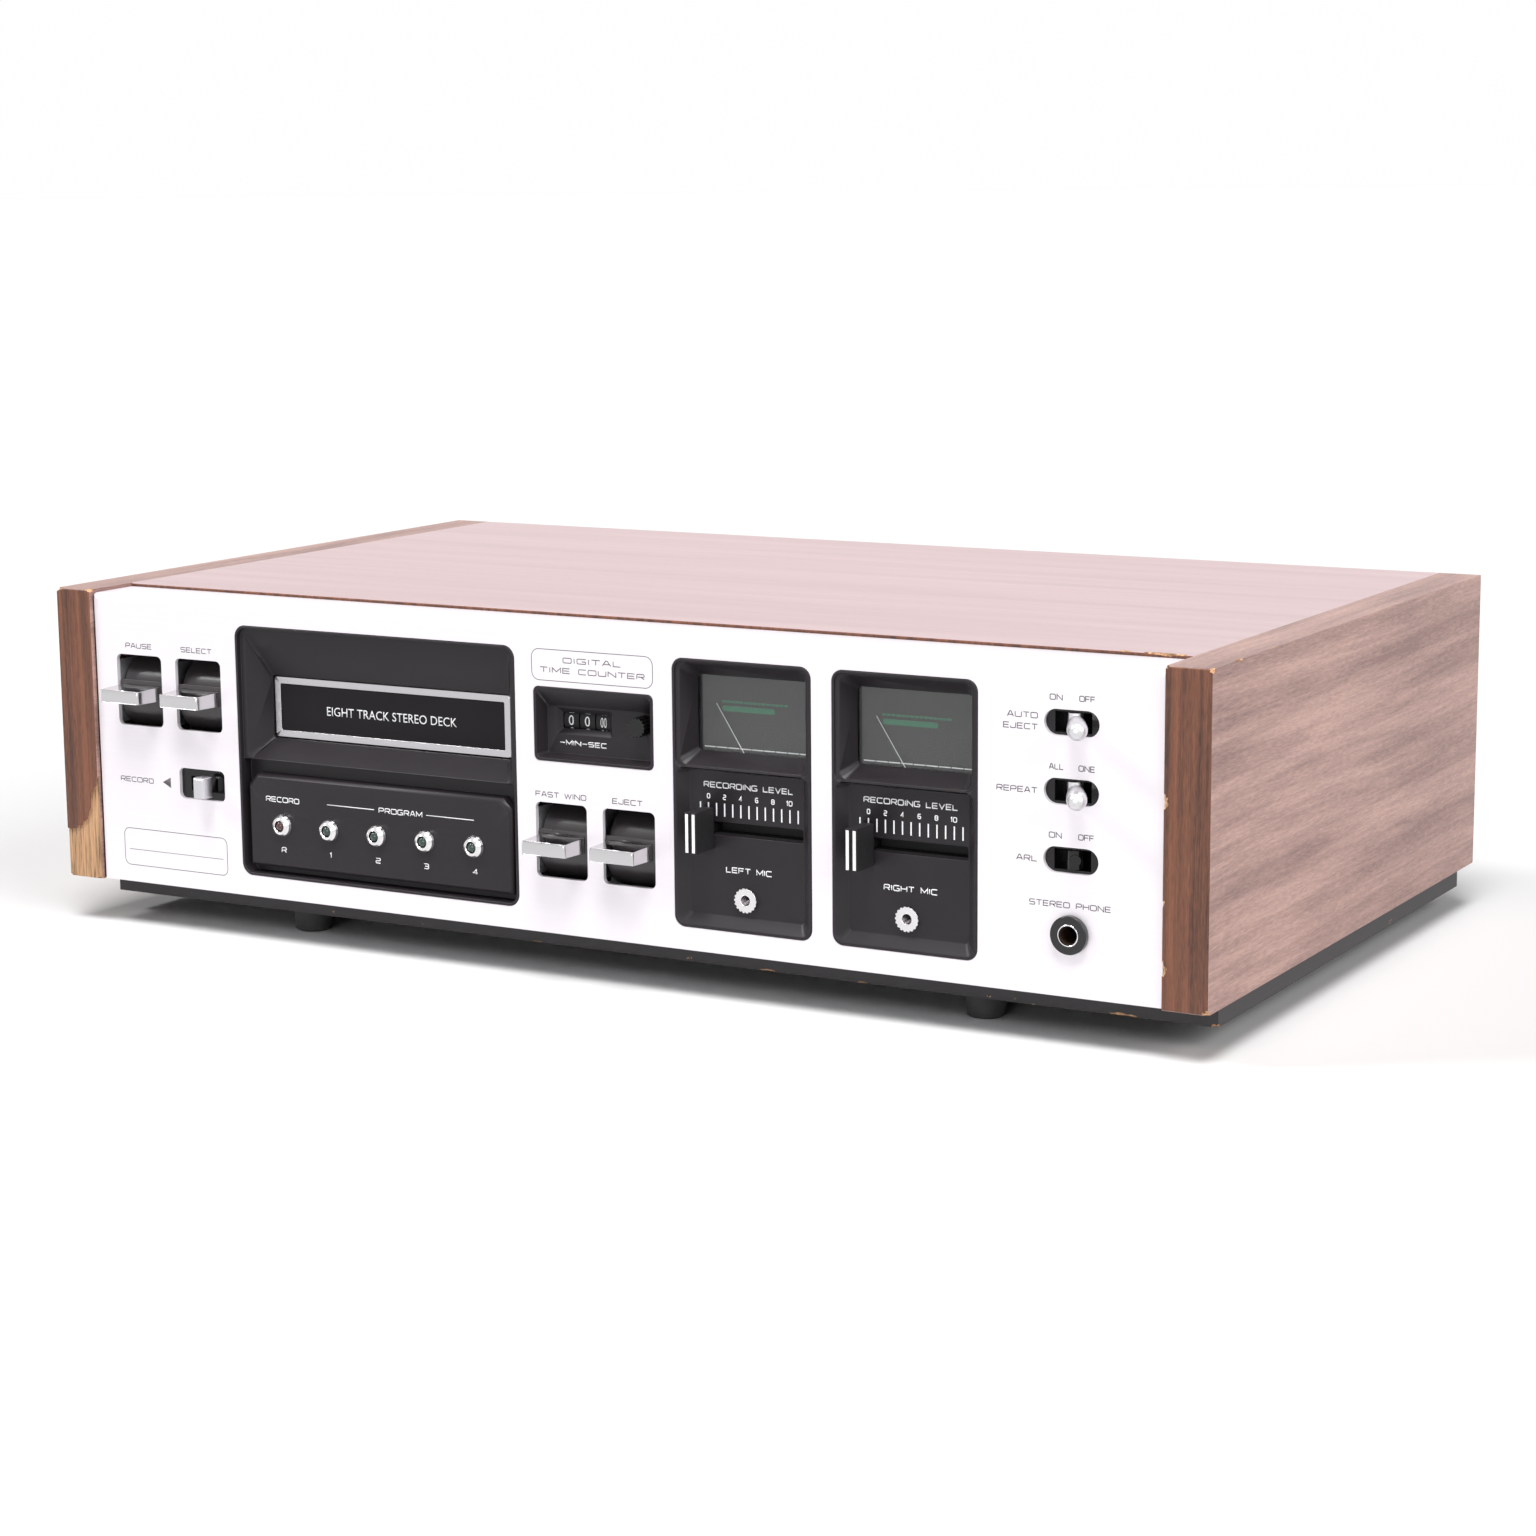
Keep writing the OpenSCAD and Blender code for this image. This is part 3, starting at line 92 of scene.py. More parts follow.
def node_mm(node):
    """The lowest and highest corner of a solid, in millimetres on the deck."""
    low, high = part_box(node)
    return local(low), local(high)


# ---- settings

def colour(name, description, default):
    return bpy.props.FloatVectorProperty(
        name=name, description=description, default=default, size=3, min=0, max=1, subtype="COLOR")


def number(name, description, default, low, high, **kind):
    return bpy.props.FloatProperty(
        name=name, description=description, default=default, min=low, max=high, **kind)


def millimetres(name, description, default, low, high):
    """A length, given here in millimetres and kept in metres."""
    return number(name, description, default * MM, low * MM, high * MM,
                  subtype="DISTANCE", unit="LENGTH", precision=5)


def degrees(name, description, default, low, high):
    """An angle, given here in degrees and kept in radians."""
    return number(name, description, math.radians(default), math.radians(low), math.radians(high),
                  subtype="ANGLE", unit="ROTATION")


class DeckWood(bpy.types.PropertyGroup):
    """Colours of the veneers, the bare board and the plinth."""
    side_light: colour("Side, light", "Light grain of the side veneer", (0.51, 0.315, 0.268))
    side_dark: colour("Side, dark", "Dark grain of the side veneer", (0.21, 0.110, 0.096))
    # The top's colours are paler than the side's, though it is the same veneer: painted light and
    # sheen, for the light that the top catches from above
    top_light: colour("Top, light", "Light grain of the top veneer", (0.62, 0.46, 0.47))
    top_dark: colour("Top, dark", "Dark grain of the top veneer", (0.44, 0.30, 0.305))
    edge_light: colour("Edge, light", "Light streaks of the front edges", (0.205, 0.074, 0.036))
    edge_dark: colour("Edge, dark", "Dark streaks of the front edges", (0.052, 0.018, 0.011))
    chipboard: colour("Chipboard", "Bare board where the veneer has chipped", (0.50, 0.29, 0.155))
    plinth: colour("Plinth", "Painted plinth board", (0.022, 0.019, 0.021))


class DeckFront(bpy.types.PropertyGroup):
    """Colours and sizes of the front plate and the mouldings."""
    plate: colour("Front plate", "Brushed aluminium of the front plate", (0.84, 0.80, 0.84))
    moulding: colour("Mouldings", "Dark plastic of the mouldings", (0.0160, 0.0130, 0.0155))
    ink: colour("Legend ink", "Ink of the legends on the plate", (0.09, 0.085, 0.09))
    paint: colour("Legend paint", "Paint of the legends on the mouldings", (0.92, 0.92, 0.94))
    meter_card: colour("Meter card", "Card behind the meter glass", (0.030, 0.029, 0.028))
    meter_band: colour("Meter band", "Coloured band of the meter scale", (0.018, 0.17, 0.088))
    edge_break: millimetres("Edge break", "Radius of the mouldings' edges", 0.3, 0.1, 0.6)
    legend_height: millimetres("Legend height", "Height of a capital on the plate", 2.0, 1.5, 2.6)


class DeckStage(bpy.types.PropertyGroup):
    """The camera and the studio light."""
    azimuth: degrees("Azimuth", "The camera's turn to the right", 29.65567, -180, 180)
    elevation: degrees("Elevation", "The camera's height above the horizon", 10.25066, -90, 90)
    roll: degrees("Roll", "The camera's roll", -0.51275, -10, 10)
    lens: number("Lens", "Focal length, in mm on a 36 mm sensor", 78.70, 20, 200, unit="CAMERA")
    ambient: number("Ambient light", "Strength of the white room on the deck", 0.07, 0, 2)
    key_strength: number("Key light", "Strength of the main lamp", 0.95, 0, 9)
    sky_strength: number("Sky light", "Strength of the wide lamp overhead", 2.62, 0, 9)
    front_strength: number("Front light", "Strength of the level lamp in front", 0.80, 0, 9)
    side_strength: number("Side light", "Strength of the wide lamp on the right", 1.65, 0, 9)
    floor: colour("Floor", "Colour of the floor", (0.80, 0.80, 0.80))
    floor_lift: number("Floor lift", "How much paler the floor looks than it lights", 1.0, 1, 3)


def wood():
    return bpy.context.scene.deck_wood


def front():
    return bpy.context.scene.deck_front


# ---- materials

class Finish:
    """A material under construction: its nodes, and short ways to add and join them."""

    def __init__(self, name, **sockets):
        self.material = bpy.data.materials.new(name)
        self.material.use_nodes = True
        self.tree = self.material.node_tree
        self.shader = self.tree.nodes["Principled BSDF"]
        inputs = {i.name.lower(): i for i in self.shader.inputs}
        for socket, value in sockets.items():
            inputs[socket.replace("_", " ")].default_value = value

    def node(self, kind, **settings):
        """Adds a node. A setting goes to the input of that name, or else to the node itself."""
        made = self.tree.nodes.new(kind)
        for key, value in settings.items():
            if key in made.inputs:
                made.inputs[key].default_value = value
            else:
                setattr(made, key, value)
        return made

    def join(self, source, target):
        self.tree.links.new(source, target)

    def feed(self, item, value):
        """Gives an input a socket, a colour, a vector or a plain number."""
        if isinstance(value, bpy.types.NodeSocket):
            self.join(value, item)
        elif item.type == "RGBA":
            item.default_value = (*value, 1)
        else:
            item.default_value = value

    def coordinates(self, scale=(1, 1, 1)):
        """Object coordinates, stretched by a scale."""
        where = self.node("ShaderNodeTexCoord")
        mapping = self.node("ShaderNodeMapping", Scale=scale)
        self.join(where.outputs["Object"], mapping.inputs["Vector"])
        return mapping.outputs["Vector"]

    def noise(self, vector, scale, detail=4.0, rough=0.55):
        made = self.node("ShaderNodeTexNoise", Scale=scale, Detail=detail, Roughness=rough)
        self.join(vector, made.inputs["Vector"])
        return made.outputs["Fac"]

    def cells(self, vector, scale):
        """A Voronoi texture: a random value for each cell, and the distance from its middle."""
        made = self.node("ShaderNodeTexVoronoi", Scale=scale)
        self.join(vector, made.inputs["Vector"])
        shade = self.node("ShaderNodeSeparateColor")
        self.join(made.outputs["Color"], shade.inputs[0])
        return shade.outputs[0], made.outputs["Distance"]

    def maths(self, operation, a, b):
        """An operation on two values, of which either may be a plain number."""
        return self.operate("ShaderNodeMath", operation, a, b)

    def vectors(self, operation, a, b):
        """An operation on two vectors, of which either may be plain numbers."""
        return self.operate("ShaderNodeVectorMath", operation, a, b)

    def operate(self, kind, operation, a, b):
        made = self.node(kind, operation=operation)
        self.feed(made.inputs[0], a)
        self.feed(made.inputs[1], b)
        return made.outputs[0]

    def ramp(self, value, stops):
        made = self.node("ShaderNodeValToRGB")
        elements = made.color_ramp.elements
        while len(elements) < len(stops):
            elements.new(0.5)
        for element, (position, shade) in zip(elements, stops):
            element.position = position
            element.color = (*shade, 1)
        self.join(value, made.inputs["Fac"])
        return made.outputs["Color"]

    def mix(self, factor, a, b):
        """A mix of two colours. The inputs are those of the node's colour mode."""
        made = self.node("ShaderNodeMix", data_type="RGBA")
        self.feed(made.inputs[0], factor)
        self.feed(made.inputs[6], a)
        self.feed(made.inputs[7], b)
        return made.outputs[2]

    def span(self, value, low, high, start=0.0, end=1.0):
        """Maps start..end to low..high."""
        made = self.node("ShaderNodeMapRange")
        limits = {"From Min": start, "From Max": end, "To Min": low, "To Max": high}
        for name, limit in limits.items():
            made.inputs[name].default_value = limit
        self.join(value, made.inputs["Value"])
        return made.outputs["Result"]

    def bump(self, height, strength, distance):
        """Raises the surface by a height, over a distance in mm."""
        made = self.node("ShaderNodeBump", Strength=strength, Distance=distance * MM)
        self.join(height, made.inputs["Height"])
        self.join(made.outputs["Normal"], self.shader.inputs["Normal"])

    def base(self, value):
        self.join(value, self.shader.inputs["Base Color"])

    def roughness(self, value):
        self.join(value, self.shader.inputs["Roughness"])


def shade_of(base, factor=1.0, lift=0.0):
    """A colour made paler or darker. It is given as it is, or as the name of its setting."""
    if isinstance(base, str):
        base = getattr(wood() if hasattr(wood(), base) else front(), base)
    return tuple(min(1.0, c * factor + lift) for c in base)


def marks(grain, length, width):
    """How far to stretch a noise to get marks of length by width mm, long along the grain."""
    return tuple(1 / (MM * (length if axis == grain else width)) for axis in "xyz")


# Length and width of the short flecks in a veneer, in mm
FLECK = (4.2, 0.45)


def veneer(name, board, grain, band, streak, wave, contrast, rough):
    """Walnut veneer: broad soft bands, streaks and short flecks, drawn out of true by a wave.

    board names its two colours, and grain the axis that the marks run along. band and streak are
    the length and width of one, and wave is the sideways drift, all in mm.
    """
    f = Finish(name, roughness=rough, specular_ior_level=0.5)
    straight = f.coordinates()
    drift = f.node("ShaderNodeTexNoise", Scale=4.5, Detail=1.0, Roughness=0.5)
    f.join(straight, drift.inputs["Vector"])
    centred = f.vectors("SUBTRACT", drift.outputs["Color"], (0.5, 0.5, 0.5))
    bent = f.vectors("ADD", straight, f.vectors("MULTIPLY", centred, (wave * MM * 4,) * 3))
    bands = f.noise(f.vectors("MULTIPLY", bent, marks(grain, *band)), 1.0, 2.0, 0.5)
    streaks = f.noise(f.vectors("MULTIPLY", bent, marks(grain, *streak)), 1.0, 4.0, 0.6)
    flecks = f.noise(f.vectors("MULTIPLY", bent, marks(grain, *FLECK)), 1.0, 2.0, 0.5)
    fine = f.maths("ADD", f.maths("MULTIPLY", streaks, 0.30), f.maths("MULTIPLY", flecks, 0.26))
    figure = f.maths("ADD", f.maths("MULTIPLY", bands, 0.44), fine)
    light, dark = shade_of(board + "_light"), shade_of(board + "_dark")
    middle = tuple((a + b) / 2 for a, b in zip(light, dark))
    f.base(f.ramp(figure, [(0.5 - contrast, dark), (0.5, middle), (0.5 + contrast, light)]))
    f.bump(flecks, 0.12, 0.08)
    f.roughness(f.span(streaks, rough - 0.05, rough + 0.07))
    return f.material


def bare_core(name):
    """Pale core of the board, bared where its edge veneer has peeled off, with an upright grain."""
    f = Finish(name, roughness=0.8)
    grain = f.noise(f.coordinates(marks("z", 18, 0.9)), 1.0, 4.0, 0.65)
    stops = ((0.36, 0.30), (0.48, 0.8), (0.64, 1.15))
    f.base(f.ramp(grain, [(at, shade_of("chipboard", factor)) for at, factor in stops]))
    f.bump(grain, 0.5, 0.3)
    return f.material


def chipboard(name):
    """Bare chipboard: pressed flakes of several shades."""
    f = Finish(name, roughness=0.9)
    flake, distance = f.cells(f.coordinates((1, 1, 0.45)), 900.0)
    f.base(f.ramp(flake, [(0.1, shade_of("chipboard", 0.5)), (0.45, shade_of("chipboard")),
                          (0.9, shade_of("chipboard", 1.35, 0.03))]))
    f.bump(distance, 0.5, 0.4)
    return f.material


def painted_board(name):
    """Matt black paint on board, with pale knocks along its lower edge."""
    f = Finish(name, roughness=0.55)
    where = f.coordinates()
    knocks = f.ramp(f.noise(where, 260.0, 3.0, 0.6), [(0.69, (0, 0, 0)), (0.72, (1, 1, 1))])
    height = f.node("ShaderNodeSeparateXYZ")
    f.join(where, height.inputs[0])
    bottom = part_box("base_board")[0].z
    near_edge = f.span(height.outputs["Z"], 0.0, 1.0, bottom + 2.6 * MM, bottom + 0.6 * MM)
    bare = f.maths("MULTIPLY", knocks, near_edge)
    f.base(f.mix(bare, shade_of("plinth"), shade_of("chipboard")))
    f.bump(f.noise(where, 1400.0, 2.0), 0.25, 0.1)
    return f.material


def brushed(name, base, rough, metallic, lines):
    """Metal with fine scratches. lines is how dense they are along each axis."""
    f = Finish(name, metallic=metallic, roughness=rough)
    scratch = f.noise(f.coordinates(lines), 1.0, 3.0, 0.6)
    cloud = f.noise(f.coordinates(), 7.0, 2.0)
    scratched = f.ramp(scratch, [(0.3, shade_of(base, 0.96)), (0.7, shade_of(base))])
    f.base(f.mix(cloud, scratched, shade_of(base)))
    f.roughness(f.span(scratch, rough - 0.05, rough + 0.07))
    f.bump(scratch, 0.05, 0.04)
    return f.material


def plastic(name, base, rough, grain=2200.0, depth=0.10, gloss=0.27):
    """Moulded plastic with faint handling marks in its roughness, and painted sheen where the same
    marks are paler. grain is how fine, and depth how strong.
    """
    f = Finish(name, roughness=rough, specular_ior_level=gloss)
    where = f.coordinates()
    rubbed_and_sheen = f.noise(where, 45.0, 4.0, 0.65)
    # The paler patches are painted sheen; the roughness below follows the same marks as handling
    # wear
    f.base(f.mix(rubbed_and_sheen, shade_of(base), shade_of(base, 1.12, 0.002)))
    f.roughness(f.span(rubbed_and_sheen, rough - 0.07, rough + 0.07))
    f.bump(f.noise(where, grain, 2.0), depth, 0.06)
    return f.material


def chrome(name, base, rough):
    """Plated metal with faint wiping marks."""
    f = Finish(name, metallic=1.0, roughness=rough)
    wiped = f.noise(f.coordinates((60, 60, 400)), 1.0, 3.0)
    f.base(f.mix(wiped, base, shade_of(base, 0.93)))
    f.roughness(f.span(wiped, rough * 0.6, rough * 1.6))
    return f.material


def jewel(name, base):
    """Translucent lamp lens, darker at depth."""
    f = Finish(name, roughness=0.12, coat_weight=0.6)
    f.base(f.mix(f.noise(f.coordinates(), 900.0, 2.0), base, shade_of(base, 0.55)))
    return f.material


def print_ink(name, base, rough):
    """Printed legend, a little uneven in its cover."""
    f = Finish(name, roughness=rough)
    cover = f.span(f.noise(f.coordinates(), 1600.0, 2.0), 0.0, 0.5)
    f.base(f.mix(cover, shade_of(base), shade_of(base, 0.85, 0.03)))
    return f.material


def window_glass(name):
    """Clear flat glass with a slight film of dust."""
    f = Finish(name, roughness=0.02, transmission_weight=1.0, ior=1.45)
    dust = f.noise(f.coordinates(), 60.0, 3.0)
    f.base(f.mix(dust, (0.92, 0.94, 0.93), (0.98, 1.0, 0.99)))
    f.roughness(f.span(dust, 0.01, 0.05))
    return f.material


def plated_sheet(name):
    """Zinc-plated sheet with a spangle."""
    f = Finish(name, metallic=0.9, roughness=0.4)
    spangle = f.cells(f.coordinates(), 160.0)[0]
    base = (0.62, 0.63, 0.65)
    f.base(f.mix(spangle, base, shade_of(base, 0.8)))
    f.roughness(f.span(spangle, 0.32, 0.48))
    return f.material


def rubber(name):
    """Black rubber, greyed by dust."""
    f = Finish(name, roughness=0.8)
    where = f.coordinates()
    dust = f.span(f.noise(where, 120.0, 4.0), 0.0, 0.6)
    f.base(f.mix(dust, (0.025, 0.025, 0.026), (0.07, 0.067, 0.065)))
    f.bump(f.noise(where, 1500.0), 0.3, 0.1)
    return f.material


RECIPES = {
    # Veneers: board, grain, size of a band and of a streak, wave, contrast and roughness
    "side_veneer": (veneer, "side", "y", (140, 11), (42, 1.5), 3.5, 0.12, 0.42),
    # The top veneer's paler colours are painted light and sheen
    "top_veneer": (veneer, "top", "x", (260, 9), (42, 1.5), 2.0, 0.24, 0.36),
    "edge_veneer": (veneer, "edge", "z", (110, 3.0), (60, 0.8), 1.5, 0.12, 0.40),
    "bare_core": (bare_core,),
    "chipboard": (chipboard,),
    "plinth_paint": (painted_board,),
    # Brushed metals: colour, roughness, metallic, and how dense the lines are along each axis
    "plate_metal": (brushed, "plate", 0.42, 0.3, (30, 2600, 2600)),
    "brown_bore": (brushed, (0.085, 0.050, 0.034), 0.35, 0.4, (400, 400, 400)),
    "satin_steel": (brushed, (0.62, 0.62, 0.64), 0.32, 1.0, (400, 400, 400)),
    "brass": (brushed, (0.75, 0.58, 0.27), 0.3, 1.0, (300, 300, 300)),
    "cast_metal": (brushed, (0.42, 0.42, 0.43), 0.45, 0.9, (500, 500, 500)),
    # Plastics: colour and roughness, and where they aren't the usual ones grain, depth and gloss
    "moulding": (plastic, "moulding", 0.38),
    "matt_black": (plastic, (0.014, 0.013, 0.014), 0.6),
    "white_plastic": (plastic, (0.78, 0.77, 0.74), 0.4),
    "black_sheet": (plastic, (0.02, 0.02, 0.021), 0.5, 900.0, 0.3),
    "board_green": (plastic, (0.05, 0.16, 0.07), 0.35, 500.0, 0.2),
    "gloss_black": (plastic, (0.010, 0.009, 0.010), 0.22, 2600.0, 0.04, 0.5),
    "door_black": (plastic, (0.012, 0.010, 0.012), 0.34, 2600.0, 0.04, 0.12),
    "drum_black": (plastic, (0.030, 0.026, 0.028), 0.30, 2600.0, 0.04, 0.5),
    "deep_black": (plastic, (0.004, 0.004, 0.004), 0.18, 2600.0, 0.03, 0.4),
    # Plated metals and print: colour and roughness
    "chrome": (chrome, (0.86, 0.86, 0.88), 0.09),
    "key_chrome": (chrome, (0.62, 0.61, 0.62), 0.10),
    "trim_metal": (chrome, (0.56, 0.55, 0.57), 0.22),
    "ring_metal": (chrome, (0.80, 0.78, 0.79), 0.12),
    "bat_metal": (chrome, (0.70, 0.69, 0.71), 0.30),
    "knob_grey": (chrome, (0.66, 0.65, 0.68), 0.24),
    "ink": (print_ink, "ink", 0.5),
    "paint": (print_ink, "paint", 0.45),
    "meter_card": (print_ink, "meter_card", 0.6),
    "meter_band": (print_ink, "meter_band", 0.5),
    "red_jewel": (jewel, (0.07, 0.010, 0.012)),
    "green_jewel": (jewel, (0.010, 0.040, 0.027)),
    "zinc": (plated_sheet,),
    "glass": (window_glass,),
    "rubber": (rubber,),
}
FINISHES = {}


def finish(name):
    """The material of that name, made the first time that it is asked for."""
    if name not in FINISHES:
        make, *settings = RECIPES[name]
        FINISHES[name] = make(name, *settings)
    return FINISHES[name]


# ---- pieces

def new_object(name, data):
    made = bpy.data.objects.new(name, data)
    bpy.context.scene.collection.objects.link(made)
    return made


def new_mesh(name, bm):
    """Turns a bmesh into a mesh, and frees it."""
    mesh = bpy.data.meshes.new(name)
    bm.to_mesh(mesh)
    bm.free()
    return mesh


def register_piece(made, body, replaced=()):
    """Puts a finished piece on its body, in place of the solids that it stands for."""
    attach(made, body)
    if replaced:
        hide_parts(*replaced)
    return made


def add_piece(name, mesh, finish_name, body, replaced=()):
    """Makes a mesh a piece of one finish."""
    mesh.materials.append(finish(finish_name))
    return register_piece(new_object(name, mesh), body, replaced)


def smooth(mesh, angle=35):
    """Shades a mesh smooth, but for edges sharper than an angle in degrees."""
    mesh.shade_smooth()
    mesh.set_sharp_from_angle(angle=math.radians(angle))


def settle(bm, name, angle=35):
    """Turns a bmesh drawn in millimetres on the deck into a mesh in the frame's metres."""
    to_metres = Matrix.Translation(CORNER) @ Matrix.Scale(MM, 4)
    bmesh.ops.transform(bm, matrix=to_metres, verts=bm.verts)
    mesh = new_mesh(name, bm)
    smooth(mesh, angle)
    return mesh


def apply_modifiers(made):
    """Turns an object's live modifiers into its plain mesh."""
    graph = bpy.context.evaluated_depsgraph_get()
    graph.update()
    mesh = bpy.data.meshes.new_from_object(made.evaluated_get(graph))
    made.modifiers.clear()
    old = made.data
    made.data = mesh
    bpy.data.meshes.remove(old)
    return mesh


def merged_copy(node, whole_faces=False):
    """A copy of a solid's mesh, its triangles joined, and its flat faces whole if asked."""
    bm = bmesh.new()
    bm.from_mesh(frame["nodes"][node].data)
    bmesh.ops.remove_doubles(bm, verts=bm.verts, dist=2e-6)
    if whole_faces:
        bmesh.ops.dissolve_limit(bm, angle_limit=math.radians(2), verts=bm.verts, edges=bm.edges)
    return new_mesh(node + "_dressed", bm)


def soften(node, finish_name, width):
    """A solid with its edges broken by width, in mm, standing in for the sharp one."""
    mesh = merged_copy(node)
    mesh.materials.append(finish(finish_name))
    smooth(mesh, 32)
    made = new_object(node + "_dressed", mesh)
    bevel = made.modifiers.new("edges", "BEVEL")
    bevel.width = width * MM
    bevel.segments = 2
    bevel.limit_method = "ANGLE"
    bevel.angle_limit = math.radians(40)
    bevel.use_clamp_overlap = False
    bevel.loop_slide = False
    bevel.harden_normals = True
    apply_modifiers(made)
    return register_piece(made, frame["nodes"][node]["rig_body"], (node,))


def dress(node, finish_name):
    """Gives a solid its material and leaves its shape alone."""
    mesh = frame["nodes"][node].data
    mesh.materials.clear()
    mesh.materials.append(finish(finish_name))


def box_mesh(bm, low, high):
    """Adds a box, from its low to its high corner."""
    low, high = Vector(low), Vector(high)
    size = high - low
    for v in bmesh.ops.create_cube(bm, size=1)["verts"]:
        v.co = Vector(c * s for c, s in zip(v.co, size)) + (low + high) / 2


def polygon_prism(bm, outline, d0, d1):
    """Adds a prism: an outline in (x, z), from depth d0 back to d1."""
    near = [bm.verts.new((x, d0, z)) for x, z in outline]
    far = [bm.verts.new((x, d1, z)) for x, z in outline]
    faces = [bm.faces.new(near), bm.faces.new(far[::-1])]
    for i in range(len(outline)):
        j = (i + 1) % len(outline)
        faces.append(bm.faces.new((near[j], near[i], far[i], far[j])))
    bmesh.ops.recalc_face_normals(bm, faces=faces)
    return faces


def rounded(x, z, w, h, r, steps=6):
    """The outline of a rounded rectangle about (x, z)."""
    points = []
    for sx, sz, start in ((1, 1, 0), (-1, 1, 90), (-1, -1, 180), (1, -1, 270)):
        for k in range(steps + 1):
            a = math.radians(start + 90 * k / steps)
            points.append((x + sx * (w / 2 - r) + r * math.cos(a),
                           z + sz * (h / 2 - r) + r * math.sin(a)))
    return points


def turned(bm, profile, centre, steps=48):
    """Adds a shape turned about Y: profile is a list of (radius, depth), closed on the axis."""
    rings = []
    for r, d in profile:
        count = steps if r > 1e-6 else 1
        angles = [2 * math.pi * k / steps for k in range(count)]
        rings.append([bm.verts.new((centre[0] + r * math.cos(a), d, centre[1] + r * math.sin(a)))
                      for a in angles])
    faces = []
    for a, b in zip(rings, rings[1:]):
        for k in range(steps):
            m = (k + 1) % steps
            corners = [a[k % len(a)], a[m % len(a)], b[m % len(b)], b[k % len(b)]]
            corners = list(dict.fromkeys(corners))
            if len(corners) > 2:
                faces.append(bm.faces.new(corners))
    bmesh.ops.recalc_face_normals(bm, faces=faces)


# ---- lettering

# How far print lies in front of its surface, how thick it is, and its usual and bold line, in mm
LIFT = 0.03
PRINT_THICKNESS = 0.018
THIN_LINE = 0.25
BOLD = 0.38

# Squared capitals: the width of each, and its strokes on a unit box. A stroke that starts with "r"
# has rounded corners, and one that starts with "o" is rounded and closed.
CAPITALS = {
    "A": (1.0, ["0,0 .4,1 .6,1 1,0", ".14,.32 .86,.32"]),
    "C": (1.0, ["r 1,1 0,1 0,0 1,0"]),
    "D": (1.0, ["r 0,.5 0,1 1,1 1,0 0,0 0,.5"]),
    "E": (0.95, ["1,1 0,1 0,0 1,0", ".1,.5 .92,.5"]),
    "F": (0.95, ["1,1 0,1 0,0", ".1,.5 .9,.5"]),
    "G": (1.05, ["r 1,1 0,1 0,0 1,0 1,.46 .55,.46"]),
    "H": (1.05, ["0,0 0,1", "1,0 1,1", ".1,.5 .9,.5"]),
    "I": (0.1, [".5,0 .5,1"]),
    "J": (0.9, ["r 1,1 1,0 0,0 0,.34"]),
    "L": (0.85, ["0,1 0,0 1,0"]),
    "M": (1.15, ["0,0 0,1 .5,.2 1,1 1,0"]),
    "N": (1.05, ["0,0 0,1 1,0 1,1"]),
    "O": (1.1, ["o 0,.5 0,1 1,1 1,0 0,0"]),
    "P": (1.0, ["0,0 0,.5", "r 0,.42 0,1 1,1 1,.42 .1,.42"]),
    "R": (1.0, ["0,0 0,.5", "r 0,.42 0,1 1,1 1,.44 .1,.44", ".6,.36 1,0"]),
    "S": (1.0, ["r 1,1 0,1 0,.5 1,.5 1,0 0,0"]),
    "T": (1.0, ["0,1 1,1", ".5,.9 .5,0"]),
    "U": (1.05, ["r 0,1 0,0 1,0 1,1"]),
    "V": (1.05, ["0,1 .5,0 1,1"]),
    "W": (1.4, ["0,1 .25,0 .5,.9 .75,0 1,1"]),
    "0": (0.9, ["o 0,.5 0,1 1,1 1,0 0,0"]),
    "1": (0.45, [".1,.8 .7,1 .7,0"]),
    "2": (0.9, ["r 0,1 1,1 1,.5 0,.5 0,0 1,0"]),
    "3": (0.9, ["r 0,1 1,1 1,0 0,0", ".2,.5 .9,.5"]),
    "4": (1.0, [".72,0 .72,1 0,.3 1,.3"]),
    "6": (0.9, ["r 1,1 0,1 0,0 1,0 1,.54 .1,.54"]),
    "8": (0.9, ["o 0,.5 0,1 1,1 1,0 0,0", ".1,.52 .9,.52"]),
    "-": (0.95, ["0,.5 1,.5"]),
}
# Gaps between letters and words, in a letter's widths, and the corner radius, in its heights
LETTER_GAP = 0.30
WORD_GAP = 1.25
CORNER_ROUND = 0.24


def round_corners(points, radius, closed, steps=4):
    """Rounds the corners of a line of points."""
    count = len(points)
    out = []
    for i, here in enumerate(points):
        if not closed and i in (0, count - 1):
            out.append(here)
            continue
        before, after = points[i - 1], points[(i + 1) % count]
        back, on = before - here, after - here
        r = min(radius, back.length * 0.49, on.length * 0.49)
        start, end = here + back.normalized() * r, here + on.normalized() * r
        for k in range(steps + 1):
            t = k / steps
            out.append(start * (1 - t) ** 2 + here * 2 * t * (1 - t) + end * t * t)
    return out


def add_stroke(bm, points, weight, d, closed=False):
    """Adds a flat ribbon along a line of points in (x, z)."""
    points = [Vector(p) for p in points]
    line = [p for i, p in enumerate(points) if i == 0 or (p - points[i - 1]).length > 1e-4]
    count = len(line)
    sides = []
    for i, here in enumerate(line):
        before = line[i - 1] if i or closed else here * 2 - line[1]
        after = line[(i + 1) % count] if i < count - 1 or closed else here * 2 - line[i - 1]
        a, b = (here - before).normalized(), (after - here).normalized()
        normal = Vector((-(a + b).y, (a + b).x)).normalized()
        reach = weight / 2 / max(0.45, normal.dot(Vector((-a.y, a.x))))
        sides.append([bm.verts.new((here.x + s * reach * normal.x, d,
                                    here.y + s * reach * normal.y)) for s in (1, -1)])
    for i in range(count if closed else count - 1):
        (a, b), (c, e) = sides[i], sides[(i + 1) % count]
        bm.faces.new((a, b, e, c))


